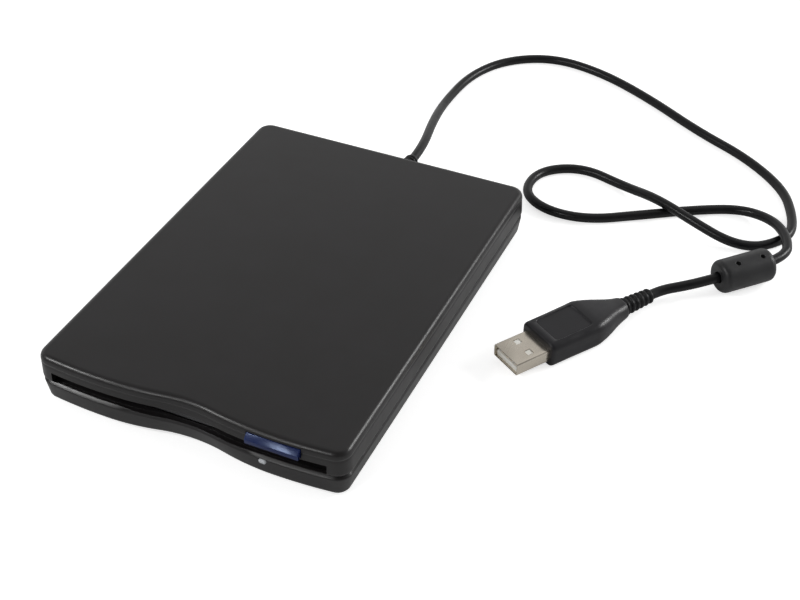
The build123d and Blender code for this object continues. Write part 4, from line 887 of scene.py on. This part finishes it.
reliefShape = {
    "x": 3.2, "z": 9.4,
    "profile": [
        (3.9, 68.85), (4, 69), (4, 70), (3.1, 70.08), (3.1, 72.42), (3.6, 72.44), (3.8, 72.6),
        (3.8, 73.3), (3.62, 73.55), (3.15, 73.75), (2.75, 74.4), (2.55, 76), (2.25, 81), (2.1, 83.6),
        (1.95, 84.1), (1.75, 84.3)],
    "ribs": {"Count": 6, "First": 2.72, "Last": 2.05, "Pitch": 1.5, "Thick": 0.45}, "ribStart": 75.2,
}
beadShape = {"from": (140, 86.9, 5.7), "to": (118.3, 63.5, 5.7), "offset": 17.3, "radius": 5.7,
             "length": 20, "hole": 1.8, "mouth": [(0, 0.7), (0.25, 0.1)], "round": 2, "rim": 0.4,
             "pins": (-5.6, 4), "pinRadius": 0.85, "pinDepth": 1.1, "pinOut": 1, "pinTurn": -17}
plugShape = {
    "tip": (71.536, 1.273, 4), "along": (0.5394, 0.8420, 0),
    "sections": [  # place along, width, height, corner radius, lift
        (12.3, 14.2, 7.4, 1.6, 0.35), (12.36, 14.7, 7.9, 1.9, 0.4), (12.55, 15.2, 8.45, 2.1, 0.45),
        (12.95, 15.6, 8.85, 2.3, 0.47), (13.6, 15.8, 9, 2.4, 0.5), (20, 15.9, 9, 2.4, 0.5),
        (28, 16.2, 9, 2.4, 0.5), (30.2, 16.4, 9.1, 2.5, 0.55), (31.4, 16.4, 9.2, 2.7, 0.6),
        (33.2, 15.9, 9.05, 3, 0.55), (35.4, 14.8, 8.75, 3.2, 0.45), (37.8, 13.2, 8.35, 3.3, 0.32),
        (40.2, 11.3, 7.85, 3.3, 0.2), (42.4, 9.7, 7.25, 3.2, 0.1), (44.4, 8.5, 6.7, 3, 0),
        (46.1, 7.7, 6.4, 3, 0), (46.75, 7.3, 6.15, 2.9, 0), (46.9, 6.9, 5.8, 2.8, 0)],
    "gripHalf": 5.6, "grip": (15.3, 29.6), "gripRound": 1.2, "gripLevels": ((-1, 4), (1, 5)),
    "gripWall": [(-0.35, 0), (-0.12, 0.1), (0.02, 0.3), (0.3, 0.7)],
    "shellWidth": 12, "shellHeight": 4.5, "wall": 0.35, "shellStart": 10, "shellEnd": 16.3,
    "slit": 0.05, "slitShort": 2, "slitIn": 0.1, "cutIn": 0.3, "cutOut": 0.5,
    "outside": [(0.15, 0, 0.6), (0.04, -0.08, 0.56), (0, -0.22, 0.5)],
    "inside": [(0, 0.2, 0.42), (0.05, 0.05, 0.34), (0.15, 0, 0.3)],
    "windows": (-2.9, 2.9), "windowHalf": 1.1, "windowAlong": (5.6, 7.8),
    "reliefProfile": [(2.9, 46.9), (2.9, 47.2), (2.45, 47.3), (2.3, 52), (2, 58.3), (1.8, 58.7)],
    "ribs": {"Count": 6, "First": 2.45, "Last": 1.98, "Pitch": 2, "Thick": 0.64}, "ribStart": 47.75,
}
tongueShape = {
    "half": 5.35, "z": (-1.9, 1.9), "front": 0.8, "top": -0.05, "block": 9.2, "end": 16.3, "edge": 0.12,
    "arm": {"half": 1.5, "z": (1.15, 1.85), "along": (5.2, 9.19), "edge": 0.08},
    "pad": {"half": 1, "z": (1.5, 2.14), "along": (5.7, 7.7), "edge": 0.1}}
contactShape = {
    "along": (1.4, 8.8), "z": (-0.05, 0.1), "half": 0.5, "places": (-3.5, -1, 1, 3.5),
    "edge": 0.04, "round": 0.02, "slope": (0.5, 0.2), "nose": 0.03}


def reliefMesh(profile, shape):
    return joined([turned(profile, "reliefRubber"), ribs("reliefRubber", shape["ribs"], shape["ribStart"])])


def layAlong(mesh, origin, along):
    along = Vector(along).normalized()
    across = along.cross(Vector((0, 0, 1)))
    turn = Matrix((across, along, across.cross(along))).transposed().to_4x4()
    mesh.transform(Matrix.Translation(Vector(origin) * mm) @ turn)
    return mesh


def keepPlugPiece(name, mesh, node, sharp=40):
    layAlong(mesh, plugShape["tip"], plugShape["along"])
    return keepPiece(name, mesh, node, sharp)


def makeCordRelief():
    shape = reliefShape
    mesh = moved(reliefMesh(shape["profile"], shape), (shape["x"], 0, shape["z"]))
    return keepPiece("cordRelief", mesh, "cord_relief", sharp=50)


def makeBead():
    shape = beadShape
    half, radius, edge = shape["length"] / 2, shape["radius"], shape["round"]
    profile = [(shape["hole"] + out, -half + along) for out, along in shape["mouth"]]
    for angle in (math.radians(15 * k) for k in range(7)):
        profile.append((radius - edge + edge * math.sin(angle), -half + edge - edge * math.cos(angle)))
    profile.append((radius, -half + edge + shape["rim"]))
    profile += [(out, -along) for out, along in reversed(profile)]
    pinEnds = (radius - shape["pinDepth"], radius + shape["pinOut"])
    pins = [barAlong("Z", (0, pin, 0), pinEnds, shape["pinRadius"], steps=20) for pin in shape["pins"]]
    for pin in pins:
        moved(pin, (0, 0, 0), shape["pinTurn"], "Y")
    mesh = carve(turned(profile, "beadPlastic", steps=56, closed=True), pins)
    start, end = Vector(shape["from"]), Vector(shape["to"])
    along = (end - start).normalized()
    layAlong(mesh, start + along * shape["offset"], along)
    return keepPiece("ferriteBead", mesh, "ferrite_bead")


def makePlugBody():
    shape = plugShape
    body = loft([[(x, y, z + lift) for x, y, z in roundRect(width, height, radius, along, steps=8)]
                 for along, width, height, radius, lift in shape["sections"]], "plugPlastic")
    low, high = shape["grip"]
    middle, half = (low + high) / 2, (high - low) / 2
    cutters = [boxMesh(around(shape["shellWidth"] / 2), (shape["shellStart"], shape["shellEnd"]),
                       around(shape["shellHeight"] / 2))]
    for side, top in shape["gripLevels"]:
        rings = []
        for level, wider in shape["gripWall"]:
            width, length = 2 * (shape["gripHalf"] + wider), 2 * (half + wider)
            rings.append([(x, middle + y, side * (top + level))
                          for x, _, y in roundRect(width, length, shape["gripRound"] + wider, 0, steps=5)])
        cutters.append(loft(rings))
    return keepPlugPiece("plugBody", carve(body, cutters), "plug_overmould")


def makePlugShell():
    shape = plugShape
    width, height, wall, end = (shape[key] for key in ("shellWidth", "shellHeight", "wall", "shellEnd"))
    outside, inside = shape["outside"], shape["inside"]
    outside, inside = [(end, *outside[0][1:]), *outside], [*inside, (end, *inside[-1][1:])]
    rings = [roundRect(width - 2 * thick + more, height - 2 * thick + more, radius, along)
             for thick, sections in ((0, outside), (wall, inside)) for along, more, radius in sections]
    inner, high = (height - 2 * wall) / 2, height / 2 + shape["cutOut"]
    low = inner - shape["cutIn"]
    cutters = [boxMesh(around(shape["windowHalf"], x), shape["windowAlong"], (side * low, side * high))
               for x in shape["windows"] for side in (-1, 1)]
    slitY, slitZ = (-1, end - shape["slitShort"]), (-high, shape["slitIn"] - inner)
    cutters.append(boxMesh(around(shape["slit"]), slitY, slitZ))
    mesh = carve(loft(rings, "shellSteel", closed=True), cutters)
    return keepPlugPiece("plugShell", mesh, "plug_shell", sharp=35)


def makePlugRelief():
    mesh = reliefMesh(plugShape["reliefProfile"], plugShape)
    return keepPlugPiece("plugRelief", mesh, "plug_relief", sharp=50)


def makeTongue():
    shape = tongueShape
    wide, block, (low, high) = around(shape["half"]), shape["block"], shape["z"]
    tongueY, tongueZ = (shape["front"], block - clear), (low, shape["top"])
    parts = [boxMesh(wide, (block, shape["end"]), (low, high), "tonguePlastic"),
             boxMesh(wide, tongueY, tongueZ, "tonguePlastic", shape["edge"])]
    for part in (shape["arm"], shape["pad"]):
        parts += [boxMesh(around(part["half"], x), part["along"], part["z"], "tonguePlastic", part["edge"])
                  for x in plugShape["windows"]]
    return keepPlugPiece("plugTongue", joined(parts), "plug_insulator")


def makeContacts():
    shape = contactShape
    (start, end), (low, high), fine = shape["along"], shape["z"], shape["round"]
    slope, slopeRound = shape["slope"]
    corners = [(start, low, fine), (start, high - shape["nose"], fine), (start + slope, high, slopeRound),
               (end, high, fine), (end, low, fine)]
    unit = slab(corners, around(shape["half"]), shape["edge"], "contactGold", steps=3)
    mesh = copies(unit, [((x, 0, 0), (0, 0, 0)) for x in shape["places"]], "contactGold")
    return keepPlugPiece("plugContacts", mesh, "plug_contacts")


cordPieces = [makeCordRelief(), makeBead(), makePlugBody(), makePlugShell(), makePlugRelief(), makeTongue(),
              makeContacts()]
print("bead and plug made")


# Mechanism

springShape = {
    "x": (-34, 34), "z": 10.2, "ends": (30.25, 41.15), "radius": 1.37, "wire": 0.22, "turns": 10.0,
    "steps": 22}
leadShape = {
    "x": 12, "z": 7, "pivots": (25.7, 47), "pivotRadius": 0.8, "pivotTip": 0.7, "pivotCone": 0.2,
    "thread": (26.6, 44.1), "core": 1.32, "edge": 0.1, "pitch": 3, "steps": 40,
    "ridge": 0.16, "ridgeLift": 0.02, "ridgeIn": 0.3}
chipShape = {
    "board": 5.4, "height": (0.2, 1.5), "edge": 0.15, "sheet": 0.15,
    "leg": (0.36, 0.8, 0.5), "legIn": 0.1, "pitch": 0.8, "firstLeg": 0.9, "ends": 1.4,
    "controller": [(-35.5, 54.7, 10, 10), (-23.5, 52.7, 5, 8)],
    "usb": [(32.5, 54.7, 9, 9), (41, 54.7, 4, 8)]}
chassisScrews = {"places": [(-30, -48), (30, -48), (-26, 37.2), (26, 37.2)], "start": 4.6,
                 "lean": -90, "turns": (0, 15), "head": 1.8, "headHeight": 1, "shank": 0.9, "reach": 1.6,
                 "cross": (0.4, 2.1, 0.6)}
windingShape = {
    "count": 9, "middle": (0, -22, 5), "turns": 11, "along": (7.9, 15.1), "size": (3.9, 1.2),
    "wire": 0.16, "corner": 0.3, "section": [(0, -1), (1, -0.9), (1.3, 0), (1, 0.9), (0, 1)]}


def makeSprings():
    shape = springShape
    low, high = shape["ends"]
    unit = coil("turnedSteel", shape["turns"], shape["radius"], shape["wire"], high - low, shape["steps"])
    mesh = copies(unit, [((x, low, shape["z"]), (-90, 0, 0)) for x in shape["x"]], "turnedSteel")
    springs = keepPiece("sliderSprings", mesh, "slider_springs", sharp=0, body=None)
    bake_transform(springs)


def makeLeadScrew():
    shape = leadShape
    (start, end), (low, high) = shape["thread"], shape["pivots"]
    pivot, core, edge = shape["pivotRadius"], shape["core"], shape["edge"]
    tip, cone = pivot * shape["pivotTip"], shape["pivotCone"]
    rod = turned([(tip, low), (pivot, low + cone), (pivot, start), (core - edge, start), (core, start + edge),
                  (core, end - edge), (core - edge, end), (pivot, end), (pivot, high - cone), (tip, high)],
                 "turnedSteel")
    length = end - start - 2 * shape["ridgeIn"]
    ridge = coil("turnedSteel", length / shape["pitch"], core + shape["ridgeLift"], shape["ridge"], length,
                 shape["steps"])
    mesh = joined([rod, moved(ridge, (0, start + shape["ridgeIn"], 0), -90)])
    moved(mesh, (shape["x"], 0, shape["z"]))
    return keepPiece("leadScrew", mesh, "lead_screw", body="screw")


def makeChips(name, chips, node):
    shape = chipShape
    board, pitch, sheet, (width, reach, height) = (shape[key] for key in ("board", "pitch", "sheet", "leg"))
    knee, z = height - sheet, [board + level for level in shape["height"]]
    leg = joined([boxMesh((-reach, shape["legIn"]), around(width / 2), (knee, height), "screwZinc"),
                  boxMesh((-reach, sheet - reach), around(width / 2), (0, knee), "screwZinc")])
    places, parts = [], []
    for x, y, wide, long in chips:
        sides = around(wide / 2, x)
        parts.append(boxMesh(sides, around(long / 2, y), z, "chipEpoxy", shape["edge"]))
        for k in range(int((long - shape["ends"]) / pitch) + 1):
            along = y - long / 2 + shape["firstLeg"] + k * pitch
            places += [((side, along, board), (0, 0, turn)) for side, turn in zip(sides, (0, 180))]
    mesh = joined([*parts, copies(leg, places, "screwZinc")])
    return keepPiece(name, mesh, node)


def makeWindings():
    shape = windingShape
    (width, height), wire, (x, y, z) = shape["size"], shape["wire"], shape["middle"]
    sections = [(wire * out, wire * along) for out, along in shape["section"]]
    turn = loft([roundRect(width + out, height + out, shape["corner"] + out / 2, along, steps=3)
                 for out, along in sections], "coilCopper", closed=True)
    low, high = shape["along"]
    places = []
    for arm in range(shape["count"]):
        angle = arm * 360 / shape["count"]
        for k in range(shape["turns"]):
            out = low + (high - low) * k / (shape["turns"] - 1)
            place = (x + out * math.cos(math.radians(angle)), y + out * math.sin(math.radians(angle)), z)
            places.append((place, (0, 0, angle - 90)))
    mesh = copies(turn, places, "coilCopper")
    return keepPiece("statorWindings", mesh, "stator_coils", sharp=50)


makeSprings()
makeLeadScrew()
makeChips("controllerChips", chipShape["controller"], "controller_chips")
makeChips("usbChips", chipShape["usb"], "usb_chips")
makeScrews("chassisScrews", chassisScrews, "screwZinc", "chassis_screws")
makeWindings()
print("mechanism made")


# Stage and light. Sizes and distances are in metres, and the backdrop's values are shares of white.

studio = {
    "floorSize": 3, "floorTone": (226, 226, 226), "floorRough": 0.9, "backdropGlow": 0.68, "glossyShare": 0.1,
    "sky": (0.85, 0.4, 0.45, 0.72), "frontSky": (0.22, 1, -0.35, 0.25),
    "lamps": {
        "frontLeft": {"towards": (-0.59, -0.52, 0.616), "distance": 0.95, "size": (0.15, 0.15), "watts": 2.6},
        "frontLow": {
            "towards": (-0.205, -0.808, 0.553), "distance": 0.94, "size": (0.2, 0.08), "watts": 1.25},
        "overhead": {"towards": (0.1, 0.35, 0.95), "distance": 1.1, "size": (0.9, 0.9), "watts": 0.8},
        "rightBack": {"towards": (0.72, 0.56, 0.42), "distance": 1, "size": (0.4, 0.2), "watts": 3.7},
    },
}


def backdropShare(tree):  # how far a ray sees the plain backdrop in place of the lit floor or sky
    path = addNode(tree, "ShaderNodeLightPath").outputs
    straight = combine(tree, "MAXIMUM", path["Is Camera Ray"], path["Is Transmission Ray"])
    glossy = combine(tree, "MULTIPLY", path["Is Glossy Ray"], studio["glossyShare"])
    return combine(tree, "MAXIMUM", straight, glossy)


def layFloor():
    low, high = around(studio["floorSize"] / 2)
    mesh = bpy.data.meshes.new("floor")
    mesh.from_pydata([(low, low, 0), (high, low, 0), (high, high, 0), (low, high, 0)], [], [(0, 1, 2, 3)])
    material, tree, skin = startFinish("floorPaper", {
        "Base Color": srgb(studio["floorTone"]), "Roughness": studio["floorRough"]})
    glow = addNode(tree, "ShaderNodeEmission", {
        "Strength": combine(tree, "MULTIPLY", backdropShare(tree), studio["backdropGlow"])})
    both = addNode(tree, "ShaderNodeAddShader", {0: skin.outputs["BSDF"], 1: glow.outputs["Emission"]})
    fill(tree, tree.nodes["Material Output"], {"Surface": both.outputs["Shader"]})
    mesh.materials.append(material)
    addObject("floor", mesh)


def setSky():
    world = bpy.data.worlds.new("studio")
    scene.world = world
    world.use_nodes = True
    tree = world.node_tree
    tree.nodes.clear()
    way = axesOf(tree, "Generated")
    height, front = mapTo(tree, way["Z"], *studio["sky"]), mapTo(tree, way["Y"], *studio["frontSky"])
    strength = mapTo(tree, backdropShare(tree), combine(tree, "MULTIPLY", height, front), 1, 0, 1)
    sky = addNode(tree, "ShaderNodeBackground", {"Color": (1, 1, 1, 1), "Strength": strength})
    addNode(tree, "ShaderNodeOutputWorld", {"Surface": sky.outputs["Background"]})


def hangLamp(name, lamp):
    data = bpy.data.lights.new(name, "AREA")
    data.shape = "RECTANGLE"
    data.size, data.size_y = lamp["size"]
    data.energy = lamp["watts"]
    towards = Vector(lamp["towards"]).normalized()
    turn = towards.to_track_quat("Z", "Y").to_matrix().to_4x4()
    addObject(name, data).matrix_world = Matrix.Translation(towards * lamp["distance"]) @ turn


layFloor()
setSky()
for name, lamp in studio["lamps"].items():
    hangLamp(name, lamp)
print("stage and lamps set")
